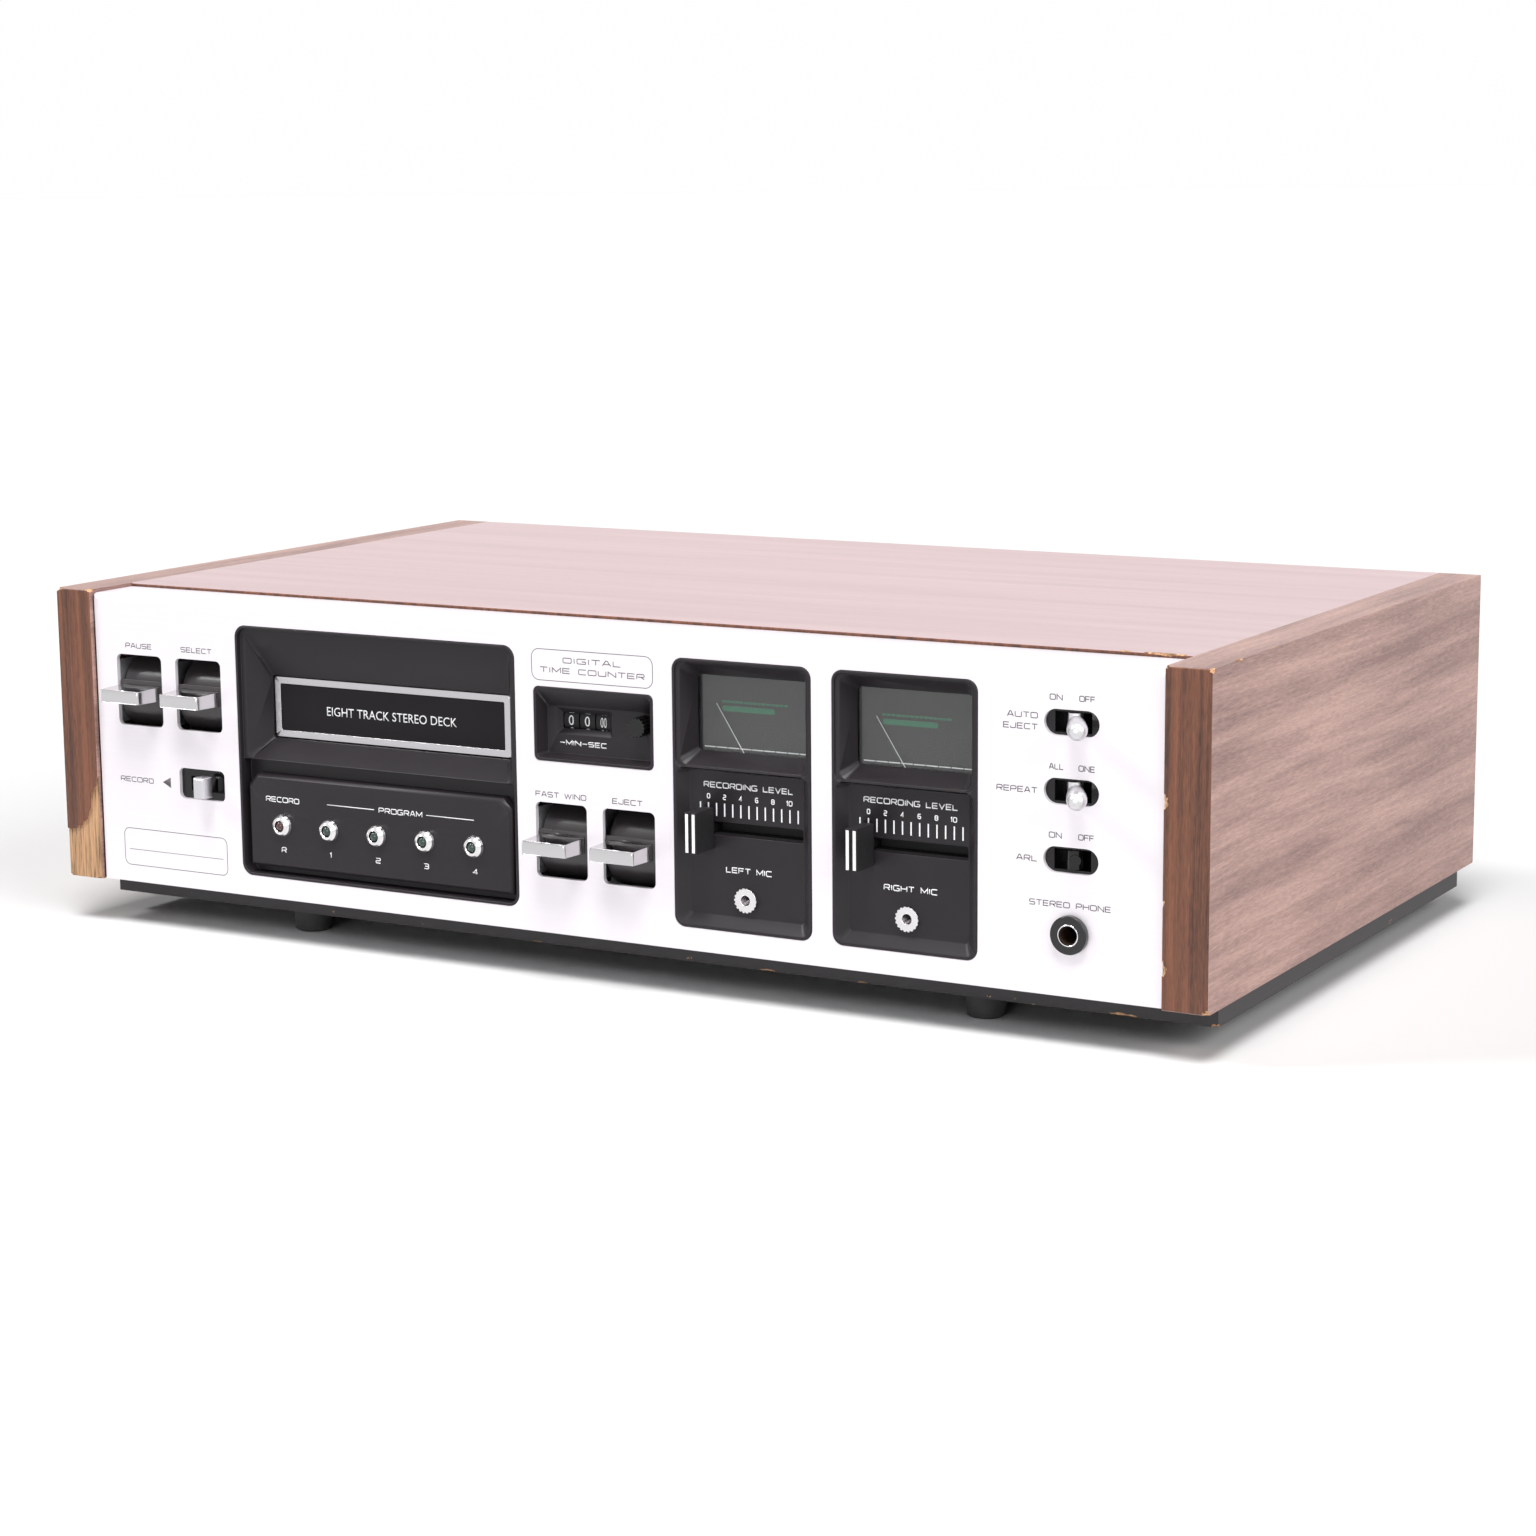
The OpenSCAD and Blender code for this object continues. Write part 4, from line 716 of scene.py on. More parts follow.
def add_legend(bm, words, x, z, face, height, width, align=0.5, weight=BOLD):
    """Adds words in squared capitals over a face at that depth.

    align says where x is on the words: 0 at the left end, 0.5 in the middle, 1 at the right end.
    """
    spans = [WORD_GAP if c == " " else CAPITALS[c][0] for c in words]
    gaps = [0 if " " in pair else LETTER_GAP for pair in zip(words, words[1:])] + [0]
    unit = (width - weight) / (sum(spans) + sum(gaps))
    left = x - align * width + weight / 2
    for mark, span, gap in zip(words, spans, gaps):
        for stroke in CAPITALS.get(mark, (0, []))[1]:
            curved, closed = stroke[0] in "ro", stroke[0] == "o"
            points = [Vector([float(v) for v in pair.split(",")])
                      for pair in stroke.strip("ro ").split()]
            points = [Vector((left + p.x * span * unit, z + (p.y - 0.5) * (height - weight)))
                      for p in points]
            if curved:
                points = round_corners(points, CORNER_ROUND * height, closed)
            add_stroke(bm, points, weight, face - LIFT, closed)
        left += unit * (span + gap)


def add_bars(bm, spans, z, weight, face):
    """Adds level lines over a face, each from one x to another."""
    for x0, x1 in spans:
        add_stroke(bm, [(x0, z), (x1, z)], weight, face - LIFT)


def frame_line(bm, x, z, w, h, r, face):
    """Adds a thin printed line round a rounded rectangle about (x, z)."""
    half = THIN_LINE / 2
    outer, inner = ([bm.verts.new((px, face - LIFT, pz))
                     for px, pz in rounded(x, z, w + 2 * grow, h + 2 * grow, r + grow)]
                    for grow in (half, -half))
    for i in range(len(outer)):
        j = (i + 1) % len(outer)
        bm.faces.new((outer[i], inner[i], inner[j], outer[j]))


def built_in_letters(words):
    """The flat outline of some words in the built-in font, as a mesh in the XY plane."""
    curve = bpy.data.curves.new("words", "FONT")
    curve.body = words
    curve.resolution_u = 3
    curve.align_x = "LEFT"
    made = new_object("words", curve)
    bpy.context.view_layer.update()
    mesh = bpy.data.meshes.new_from_object(made)
    bpy.data.objects.remove(made)
    bpy.data.curves.remove(curve)
    return mesh


def add_words(bm, words, x, z, d, height, width):
    """Adds words in the built-in font, fitted to a height and width about (x, z)."""
    mesh = built_in_letters(words)
    start = len(bm.verts)
    bm.from_mesh(mesh)
    bpy.data.meshes.remove(mesh)
    bm.verts.ensure_lookup_table()
    made = bm.verts[start:]
    low = min(v.co.x for v in made), min(v.co.y for v in made)
    high = max(v.co.x for v in made), max(v.co.y for v in made)
    for v in made:
        u = (v.co.x - low[0]) / (high[0] - low[0])
        w = (v.co.y - low[1]) / (high[1] - low[1])
        v.co = (x + (u - 0.5) * width, d - LIFT, z + (w - 0.5) * height)
    return made


def add_print(name, bm, finish_name, body):
    """Makes flat print a piece, with a very thin body so that it is closed."""
    mesh = settle(bm, name)
    bm = bmesh.new()
    bm.from_mesh(mesh)
    bmesh.ops.recalc_face_normals(bm, faces=bm.faces)
    for f in bm.faces:
        if f.normal.y > 0:
            f.normal_flip()
    bmesh.ops.solidify(bm, geom=bm.faces[:], thickness=PRINT_THICKNESS * MM)
    bm.to_mesh(mesh)
    bm.free()
    return add_piece(name, mesh, finish_name, body)


# ---- repeated shapes

def repeat_tree(name, polar):
    """A node tree that repeats its object along a line, or round an axis."""
    tree = bpy.data.node_groups.new(name, "GeometryNodeTree")
    face = tree.interface
    for socket, kind in (("Geometry", "Geometry"), ("Count", "Int"), ("Step", "Vector"),
                         ("Centre", "Vector"), ("Finish", "Material")):
        face.new_socket(socket, in_out="INPUT", socket_type="NodeSocket" + kind)
    face.new_socket("Geometry", in_out="OUTPUT", socket_type="NodeSocketGeometry")
    nodes, join = tree.nodes, tree.links.new
    given, out = nodes.new("NodeGroupInput"), nodes.new("NodeGroupOutput")
    line = nodes.new("GeometryNodeMeshLine")
    join(given.outputs["Count"], line.inputs["Count"])
    spread = nodes.new("GeometryNodeInstanceOnPoints")
    join(given.outputs["Geometry"], spread.inputs["Instance"])
    if polar:
        line.inputs["Offset"].default_value = (0, 0, 0)
        join(given.outputs["Centre"], line.inputs["Start Location"])
        index = nodes.new("GeometryNodeInputIndex")
        turn = nodes.new("ShaderNodeVectorMath")
        turn.operation = "SCALE"
        join(given.outputs["Step"], turn.inputs[0])
        join(index.outputs[0], turn.inputs["Scale"])
        spin = nodes.new("FunctionNodeEulerToRotation")
        join(turn.outputs[0], spin.inputs[0])
        join(spin.outputs[0], spread.inputs["Rotation"])
    else:
        join(given.outputs["Step"], line.inputs["Offset"])
    join(line.outputs["Mesh"], spread.inputs["Points"])
    real = nodes.new("GeometryNodeRealizeInstances")
    join(spread.outputs["Instances"], real.inputs["Geometry"])
    dressed = nodes.new("GeometryNodeSetMaterial")
    join(real.outputs["Geometry"], dressed.inputs["Geometry"])
    join(given.outputs["Finish"], dressed.inputs["Material"])
    join(dressed.outputs["Geometry"], out.inputs["Geometry"])
    return tree


TREES = {}


def repeat(name, mesh, count, step, finish_name, centre=None):
    """Repeats a mesh on the cabinet: along step, or round centre by step in radians."""
    polar = centre is not None
    if polar not in TREES:
        TREES[polar] = repeat_tree("round_an_axis" if polar else "along_a_line", polar)
    made = new_object(name, mesh)
    modifier = made.modifiers.new("repeat", "NODES")
    modifier.node_group = TREES[polar]
    sockets = {i.name: i.identifier for i in TREES[polar].interface.items_tree
               if i.in_out == "INPUT"}
    modifier[sockets["Count"]] = count
    modifier[sockets["Step"]] = tuple(step)
    modifier[sockets["Centre"]] = tuple(centre) if polar else (0, 0, 0)
    modifier[sockets["Finish"]] = finish(finish_name)
    smooth(apply_modifiers(made))
    return register_piece(made, CABINET)


# ---- the cabinet

# Chips: which board, where (x, d, z) and how large, in millimetres
CHIPS = {
    "side_panel_left": [
        ((0.0, -0.6, 111.8), (2.6, 2.2, 1.6)), ((16.2, 0.0, 111.9), (2.4, 2.4, 1.2)),
        ((16.6, -0.4, -0.6), (2.4, 2.2, 2.6)), ((-0.6, -0.2, -0.4), (1.8, 1.6, 3.0))],
    "side_panel_right": [
        ((453.8, -0.2, 68.0), (1.8, 1.0, 2.4)), ((453.8, -0.2, 14.0), (1.7, 1.0, 2.8)),
        ((453.8, -0.2, 35.0), (1.0, 0.8, 1.6)), ((470.2, -0.2, 0.4), (2.0, 2.0, 1.6)),
        ((470.2, 0.2, 111.4), (1.4, 1.6, 1.2)), ((454.2, 0.0, 111.6), (1.4, 1.6, 0.9)),
        ((470.2, 22.0, 111.9), (0.9, 5.0, 0.7)), ((470.2, 52.0, 111.9), (0.6, 7.0, 0.5))],
    "top_panel": [
        ((444.0, 24.4, 111.9), (7.0, 1.5, 1.0)), ((430.0, 24.3, 111.9), (4.0, 1.0, 0.6)),
        ((300.0, 24.3, 112.0), (12.0, 0.8, 0.5)), ((180.0, 24.3, 112.0), (8.0, 0.7, 0.5))],
    "base_board": [
        ((296.0, 22.5, -9.7), (3.4, 0.9, 0.9)), ((334.0, 22.5, -9.7), (2.0, 0.8, 0.7)),
        ((431.0, 22.4, -9.7), (5.0, 1.0, 1.1)), ((200.0, 22.5, -9.7), (2.6, 0.7, 0.6)),
        ((464.4, 22.4, -9.6), (2.4, 2.4, 1.2))],
}

# Where the edge veneer has peeled off a board: its outline in (x, z), and how deep it goes
PEELS = {
    "side_panel_left": [
        (-1, -1), (17.5, -1), (17.5, 42), (15.6, 39.5), (14.9, 36), (13.2, 33.5), (12.4, 31),
        (12.2, 27.5), (10.6, 25), (10.4, 23), (8.2, 21.8), (7.6, 20.2), (5.2, 20.0), (4.4, 18.9),
        (1.6, 18.4), (-1, 18.8)],
}
PEEL_DEPTH = 0.7


def bite(bm, centre, size, seed):
    """Adds a rough lump that is cut out of a board as a chip."""
    lump = bmesh.ops.create_icosphere(bm, subdivisions=3, radius=1.0)["verts"]
    for v in lump:
        rough = 1 + 0.55 * noise.noise(v.co * 2.1 + Vector((seed, 0, 0)))
        rough += 0.22 * noise.noise(v.co * 6.3 + Vector((0, seed, 0)))
        v.co = Vector(c * s * rough for c, s in zip(v.co, size)) + Vector(centre)


def chip_tool(node):
    """The lumps and the peel that are cut out of a board, with the finish each leaves."""
    bm = bmesh.new()
    for k, (centre, size) in enumerate(CHIPS[node]):
        bite(bm, centre, size, 3.7 * k + len(node))
    if node in PEELS:
        for face in polygon_prism(bm, PEELS[node], -1.0, PEEL_DEPTH):
            face.material_index = 1
    mesh = settle(bm, "chips")
    mesh.materials.append(finish("chipboard"))
    mesh.materials.append(finish("bare_core"))
    return new_object("chips", mesh)


def board(node, slot, face_finish, edge_finish=None):
    """A worn board with its chips cut. Its front and back edges may have a finish of their own."""
    mesh = merged_copy(node, True)
    mesh.materials.append(finish(face_finish))
    if edge_finish:
        mesh.materials.append(finish(edge_finish))
    for face in mesh.polygons:
        face.material_index = 1 if edge_finish and abs(face.normal.y) > 0.75 else 0
    made = new_object(node + "_dressed", mesh)
    tool = chip_tool(node)
    cut = made.modifiers.new("chips", "BOOLEAN")
    cut.operation = "DIFFERENCE"
    cut.solver = "EXACT"
    cut.use_self = True
    cut.material_mode = "TRANSFER"
    cut.object = tool
    result = apply_modifiers(made)
    tool_mesh = tool.data
    bpy.data.objects.remove(tool)
    bpy.data.meshes.remove(tool_mesh)
    for face in result.polygons:
        face.use_smooth = result.materials[face.material_index].name == "chipboard"
    return register_piece(made, CABINET, (node,))


class DECK_OT_cabinet(bpy.types.Operator):
    """Veneered side panels and top board, and the painted plinth, with their chips"""
    bl_idname = "deck.cabinet"
    bl_label = "Cabinet"

    def execute(self, context):
        board("side_panel_left", "walnut", "side_veneer", "edge_veneer")
        board("side_panel_right", "walnut", "side_veneer", "edge_veneer")
        board("top_panel", "walnut", "top_veneer", "edge_veneer")
        board("base_board", "plinth_black", "plinth_paint")
        dress("rubber_feet", "rubber")
        return {"FINISHED"}


# ---- the front plate

PLATE_FACE = 1.8
PLATE_WEIGHT = 0.30
# Legends on the plate: words, x, z, width and where x is on the words
PLATE_WORDS = [
    ("PAUSE", 37.3, 91.3, 12.6, 0.5), ("SELECT", 64.8, 91.3, 14.6, 0.5),
    ("RECORD", 34.0, 40.0, 16.0, 0.5), ("FAST WIND", 225.4, 50.2, 21.2, 0.5),
    ("EJECT", 252.9, 50.2, 12.4, 0.5), ("DIGITAL", 239.2, 98.3, 23.8, 0.5),
    ("TIME COUNTER", 239.2, 94.6, 43.0, 0.5), ("ON", 415.7, 98.75, 4.6, 0.5),
    ("OFF", 426.6, 98.75, 5.6, 0.5), ("ALL", 415.9, 76.1, 5.2, 0.5),
    ("ONE", 426.6, 76.1, 5.8, 0.5), ("ON", 415.7, 53.6, 4.6, 0.5),
    ("OFF", 426.6, 53.6, 5.6, 0.5), ("AUTO", 409.3, 92.25, 11.0, 1.0),
    ("EJECT", 409.3, 88.5, 12.4, 1.0), ("REPEAT", 409.3, 67.7, 14.7, 1.0),
    ("ARL", 409.3, 45.2, 7.5, 1.0), ("STEREO PHONE", 421.0, 30.8, 29.0, 0.5)]
# Line frames round the counter's name and the bare label: x, z, width, height and corner radius
PLATE_FRAMES = [(239.1, 96.3, 49.6, 11.0, 3.0), (51.3, 13.9, 49.3, 14.2, 2.5)]
# Line across the bare label: its ends, height and weight
LABEL_LINE = [(29, 74)], 12.9, 0.2
RECORD_ARROW = ((46.4, 40.1), (50.25, 38.1), (50.25, 42.1))
# Painted shadow: a dark line down the left end of the plate, for the shade where it meets the side
# panel, from its foot to its head
PLATE_END_SHADOW = ((16.5, 0.5), (16.5, 109.5))
PLATE_END_SHADOW_WEIGHT = 0.6


class DECK_OT_front_plate(bpy.types.Operator):
    """Brushed front plate with its printed legends and line frames, and a painted shadow down its
    left end
    """
    bl_idname = "deck.front_plate"
    bl_label = "Front plate"

    def execute(self, context):
        dress("front_plate", "plate_metal")
        height = front().legend_height / MM
        bm = bmesh.new()
        for words, x, z, width, align in PLATE_WORDS:
            add_legend(bm, words, x, z, PLATE_FACE, height, width, align, PLATE_WEIGHT)
        for x, z, w, h, r in PLATE_FRAMES:
            frame_line(bm, x, z, w, h, r, PLATE_FACE)
        add_bars(bm, *LABEL_LINE, PLATE_FACE)
        bm.faces.new([bm.verts.new((x, PLATE_FACE - LIFT, z)) for x, z in RECORD_ARROW])
        add_print("plate_legends", bm, "ink", CABINET)
        # A painted shadow: a gloss black strip down the plate's left end, where it meets the side
        # panel in shade
        bm = bmesh.new()
        add_stroke(bm, PLATE_END_SHADOW, PLATE_END_SHADOW_WEIGHT, PLATE_FACE - LIFT)
        add_print("plate_end", bm, "gloss_black", CABINET)
        return {"FINISHED"}


# ---- the cartridge bay

BAY_X = 145.1
DOOR_FACE = 12.9
DOOR_WORDS_Z = 70.6
DOOR_WORDS_SIZE = (3.3, 58.0)
LAMP_PITCH = 21.4
LAMP_Z = 28.4
# Domed lens of a lamp: radius, and depth behind its front
LENS_DOME = [(0, 0), (0.9, 0.12), (1.6, 0.55), (1.95, 1.2)]
PROGRAM_FACE = 2.4
# Words over the lamps, with the x and width of each, and the lines beside them
PROGRAM_HEADS = {"RECORD": (BAY_X - 2 * LAMP_PITCH, 15.4), "PROGRAM": (155.6, 19.4)}
PROGRAM_LINES = [(122.7, 143.9), (167.0, 187.8)]
PROGRAM_HEAD_Z = 37.9
# Marks under the lamps, with their widths
PROGRAM_MARKS = {"R": 2.3, "1": 1.2, "2": 2.3, "3": 2.3, "4": 2.3}


class DECK_OT_bay(bpy.types.Operator):
    """Cartridge bay: moulding, door with its bright trim, program lamps and their legends"""
    bl_idname = "deck.bay"
    bl_label = "Cartridge bay"

    def execute(self, context):
        soften("bay_bezel", "moulding", front().edge_break / MM)
        soften("cartridge_door", "door_black", 0.25)
        soften("door_trim", "trim_metal", 0.15)
        bm = bmesh.new()
        add_words(bm, "EIGHT TRACK STEREO DECK", BAY_X, DOOR_WORDS_Z, DOOR_FACE, *DOOR_WORDS_SIZE)
        add_print("door_words", bm, "paint", "door")
        self.lamps()
        self.program_words()
        dress("door_pin", "satin_steel")
        dress("door_spring", "satin_steel")
        dress("cartridge_deck", "matt_black")
        return {"FINISHED"}

    def lamps(self):
        """Five lamps in a row, of which the first is the red record lamp."""
        dress("lamp_rings", "ring_metal")
        low, high = node_mm("lamp_lenses")
        rim = LENS_DOME[-1][0]
        profile = [(r, low.y + d) for r, d in LENS_DOME] + [(rim, high.y), (0, high.y)]
        for k in range(5):
            bm = bmesh.new()
            turned(bm, profile, (BAY_X + (k - 2) * LAMP_PITCH, LAMP_Z), 32)
            add_piece(f"lamp_lens_{k + 1}", settle(bm, "lens"), "green_jewel" if k else "red_jewel",
                      CABINET, () if k else ("lamp_lenses",))

    def program_words(self):
        bm = bmesh.new()
        for words, (x, width) in PROGRAM_HEADS.items():
            add_legend(bm, words, x, PROGRAM_HEAD_Z, PROGRAM_FACE, 2.05, width, weight=0.33)
        for k, (mark, width) in enumerate(PROGRAM_MARKS.items()):
            add_legend(bm, mark, BAY_X + (k - 2) * LAMP_PITCH, 19.1, PROGRAM_FACE, 2.1, width,
                       weight=0.36)
        add_bars(bm, PROGRAM_LINES, PROGRAM_HEAD_Z, 0.3, PROGRAM_FACE)
        add_print("program_words", bm, "paint", CABINET)


# ---- keys and switches

KEYS = ("pause", "select", "fast_wind", "eject")
# The record knob is drawn wider to its left, forward of this depth
KNOB_WIDER = 1.16
KNOB_DEPTH = 1.8
BAT_X = 421.2
BAT_TILT = 26
HUB_R = 2.6
HUB_LENGTH = 6.2
# Radius of a bat, and how far that is from its pivot
BAT_PROFILE = [(1.9, 1.0), (2.3, 2.4), (2.75, 5.0), (3.1, 9.0), (3.3, 13.0), (3.36, 15.5),
               (3.3, 17.2), (3.08, 18.5), (2.65, 19.5), (2.05, 20.2), (1.3, 20.62), (0.6, 20.8),
               (0, 20.85)]


class DECK_OT_keys(bpy.types.Operator):
    """Four chrome keys with their black drums, and the shafts and brackets behind them"""
    bl_idname = "deck.keys"
    bl_label = "Keys"

    def execute(self, context):
        for key in KEYS:
            soften(key + "_key", "key_chrome", 0.22)
            soften(key + "_drum", "drum_black", 0.2)
        dress("key_shafts", "satin_steel")
        dress("key_brackets", "zinc")
        return {"FINISHED"}


class DECK_OT_switches(bpy.types.Operator):
    """Record slide and the three bat switches, the lowest without its bat"""
    bl_idname = "deck.switches"
    bl_label = "Switches"

    def execute(self, context):
        knob = soften("record_knob", "knob_grey", 0.25).data
        right = max(v.co.x for v in knob.vertices)
        for v in knob.vertices:
            if local(v.co).y < KNOB_DEPTH:
                v.co.x = right - (right - v.co.x) * KNOB_WIDER
        self.bat("auto_eject")
        self.bat("repeat")
        dress("limiter_lever", "deep_black")
        dress("switch_bodies", "deep_black")
        return {"FINISHED"}

    def bat(self, body):
        """A fat, egg-shaped bat on its hub. The hub's middle is the pivot."""
        lever = body + "_lever"
        low, high = node_mm(lever)
        pivot = Vector((BAT_X, high.y - HUB_R, (low.z + high.z) / 2))
        bm = bmesh.new()
        turned(bm, [(0, 0)] + [(r, -s) for r, s in BAT_PROFILE], (0, 0), 40)
        tilt = Matrix.Rotation(math.radians(BAT_TILT), 3, "Z")
        bmesh.ops.rotate(bm, verts=bm.verts, matrix=tilt)
        bmesh.ops.create_cone(bm, cap_ends=True, segments=32, radius1=HUB_R, radius2=HUB_R,
                              depth=HUB_LENGTH)
        bmesh.ops.translate(bm, verts=bm.verts, vec=pivot)
        mesh = settle(bm, "bat", 50)
        add_piece(body + "_bat", mesh, "bat_metal", body, (lever,))


# ---- the time counter

WHEELS = {"tens_wheel": "tens", "minutes_wheel": "minutes", "seconds_wheel": "seconds"}
FIGURE_HEIGHT = 3.6
FIGURE_WIDTH = 2.1
SECONDS_WIDTH = 2.5
FIGURE_LIFT = 0.04
# Figures are cut level at every half millimetre, so that they can bend round their wheel
FIGURE_CUTS = (-1.0, -0.5, 0.0, 0.5, 1.0)
# Figures that lie flat have less depth than this, and those on a wheel more
FLAT = 0.1
COUNTER_FACE = 7.2


class DECK_OT_counter(bpy.types.Operator):
    """Time counter: moulding, number wheels with their figures, and the toothed reset knob"""
    bl_idname = "deck.counter"
    bl_label = "Time counter"

    def execute(self, context):
        soften("counter_bezel", "moulding", 0.2)
        dress("counter_frame", "zinc")
        for node, body in WHEELS.items():
            dress(node, "matt_black")
            self.figures(node, body)
        soften("reset_knob", "deep_black", 0.08)
        bm = bmesh.new()
        add_legend(bm, "-MIN-SEC", 231.7, 68.2, COUNTER_FACE, 1.9, 19.6)
        add_print("counter_words", bm, "paint", CABINET)
        return {"FINISHED"}

    def figures(self, node, body):
        """Ten marks round a wheel: 0 to 9, or the seconds in steps of six."""
        low, high = node_mm(node)
        axis_d, axis_z = (low.y + high.y) / 2, (low.z + high.z) / 2
        radius = (high.z - low.z) / 2 + FIGURE_LIFT
        middle = (low.x + high.x) / 2
        seconds = body == "seconds"
        width = SECONDS_WIDTH if seconds else FIGURE_WIDTH
        bm = bmesh.new()
        for k in range(10):
            mark = f"{6 * k:02d}" if seconds else str(k)
            add_words(bm, mark, middle, 0, 0, FIGURE_HEIGHT, width)
            for cut in FIGURE_CUTS:
                bmesh.ops.bisect_plane(bm, geom=sum(self.flat_parts(bm), []), dist=1e-5,
                                       plane_co=(0, 0, cut), plane_no=(0, 0, 1))
            for v in self.flat_parts(bm)[0]:
                a = v.co.z / radius + math.radians(36 * k)
                v.co = (v.co.x, axis_d - radius * math.cos(a), axis_z + radius * math.sin(a))
        add_piece(node + "_figures", settle(bm, node + "_figures"), "paint", body)

    def flat_parts(self, bm):
        """The corners, faces and edges of what isn't bent round the wheel yet."""
        faces = [f for f in bm.faces if all(abs(v.co.y) < FLAT for v in f.verts)]
        verts = list(dict.fromkeys(v for f in faces for v in f.verts))
        return verts, faces, list(dict.fromkeys(e for f in faces for e in f.edges))


# ---- the level modules

# The middle of each module, and the depth of its flat face
LEVELS = {"left": 298.7, "right": 360.75}
LEVEL_FACE = 5.1
# Words on a module stand this far right of its middle. A microphone's name has its own width.
WORDS_SHIFT = 0.7
MIC_WIDTH = {"left": 18.2, "right": 20.2}
# The numbers along a fader, with their widths
DIAL = {"0": 1.35, "2": 1.35, "4": 1.35, "6": 1.35, "8": 1.35, "10": 2.6}
DIAL_START = -15.0
DIAL_PITCH = 6.34
DIAL_WEIGHT = 0.36
# The meter's card and its coloured band, about the middle of the module
CARD_FACE = 12.85
CARD_LOW, CARD_HIGH = (-21.2, 66.5), (21.2, 95.6)
BAND_AT = (-3.1, 84.15)
BAND_SIZE = (20.6, 1.9, 0.9)
# Rows of small boxes: finish, slot, how many, how far apart, and two corners of the first
ROWS = {
    "meter_dashes": ("meter_band", "lens_green", 15, 1.75,
                     (-13.6, CARD_FACE - 0.05, 86.1), (-12.3, CARD_FACE, 86.9)),
    "meter_foot_line": ("paint", "charcoal_abs", 9, 4.7,
                        (-20.6, CARD_FACE - 0.05, 70.25), (-16.3, CARD_FACE, 70.65)),
    "level_ticks": ("paint", "charcoal_abs", 13, 3.2,
                    (-18.49, LEVEL_FACE - LIFT, 47.85), (-17.99, LEVEL_FACE - LIFT / 3, 52.4)),
}
NEEDLE_PIVOT_Z = 62
NEEDLE_THIN = 0.36
# The two white lines of a fader knob: how far in from its side each starts and ends
FADER_LINE = (0.35, 1.45)
FADER_LINE_END = 0.5
# A tooth of the microphone jack's nut, about the nut's middle
NUT_Z = 19.5
NUT_TEETH = 18
TOOTH_BOX = ((3.55, -1.55, -0.35), (4.35, -0.1, 0.35))


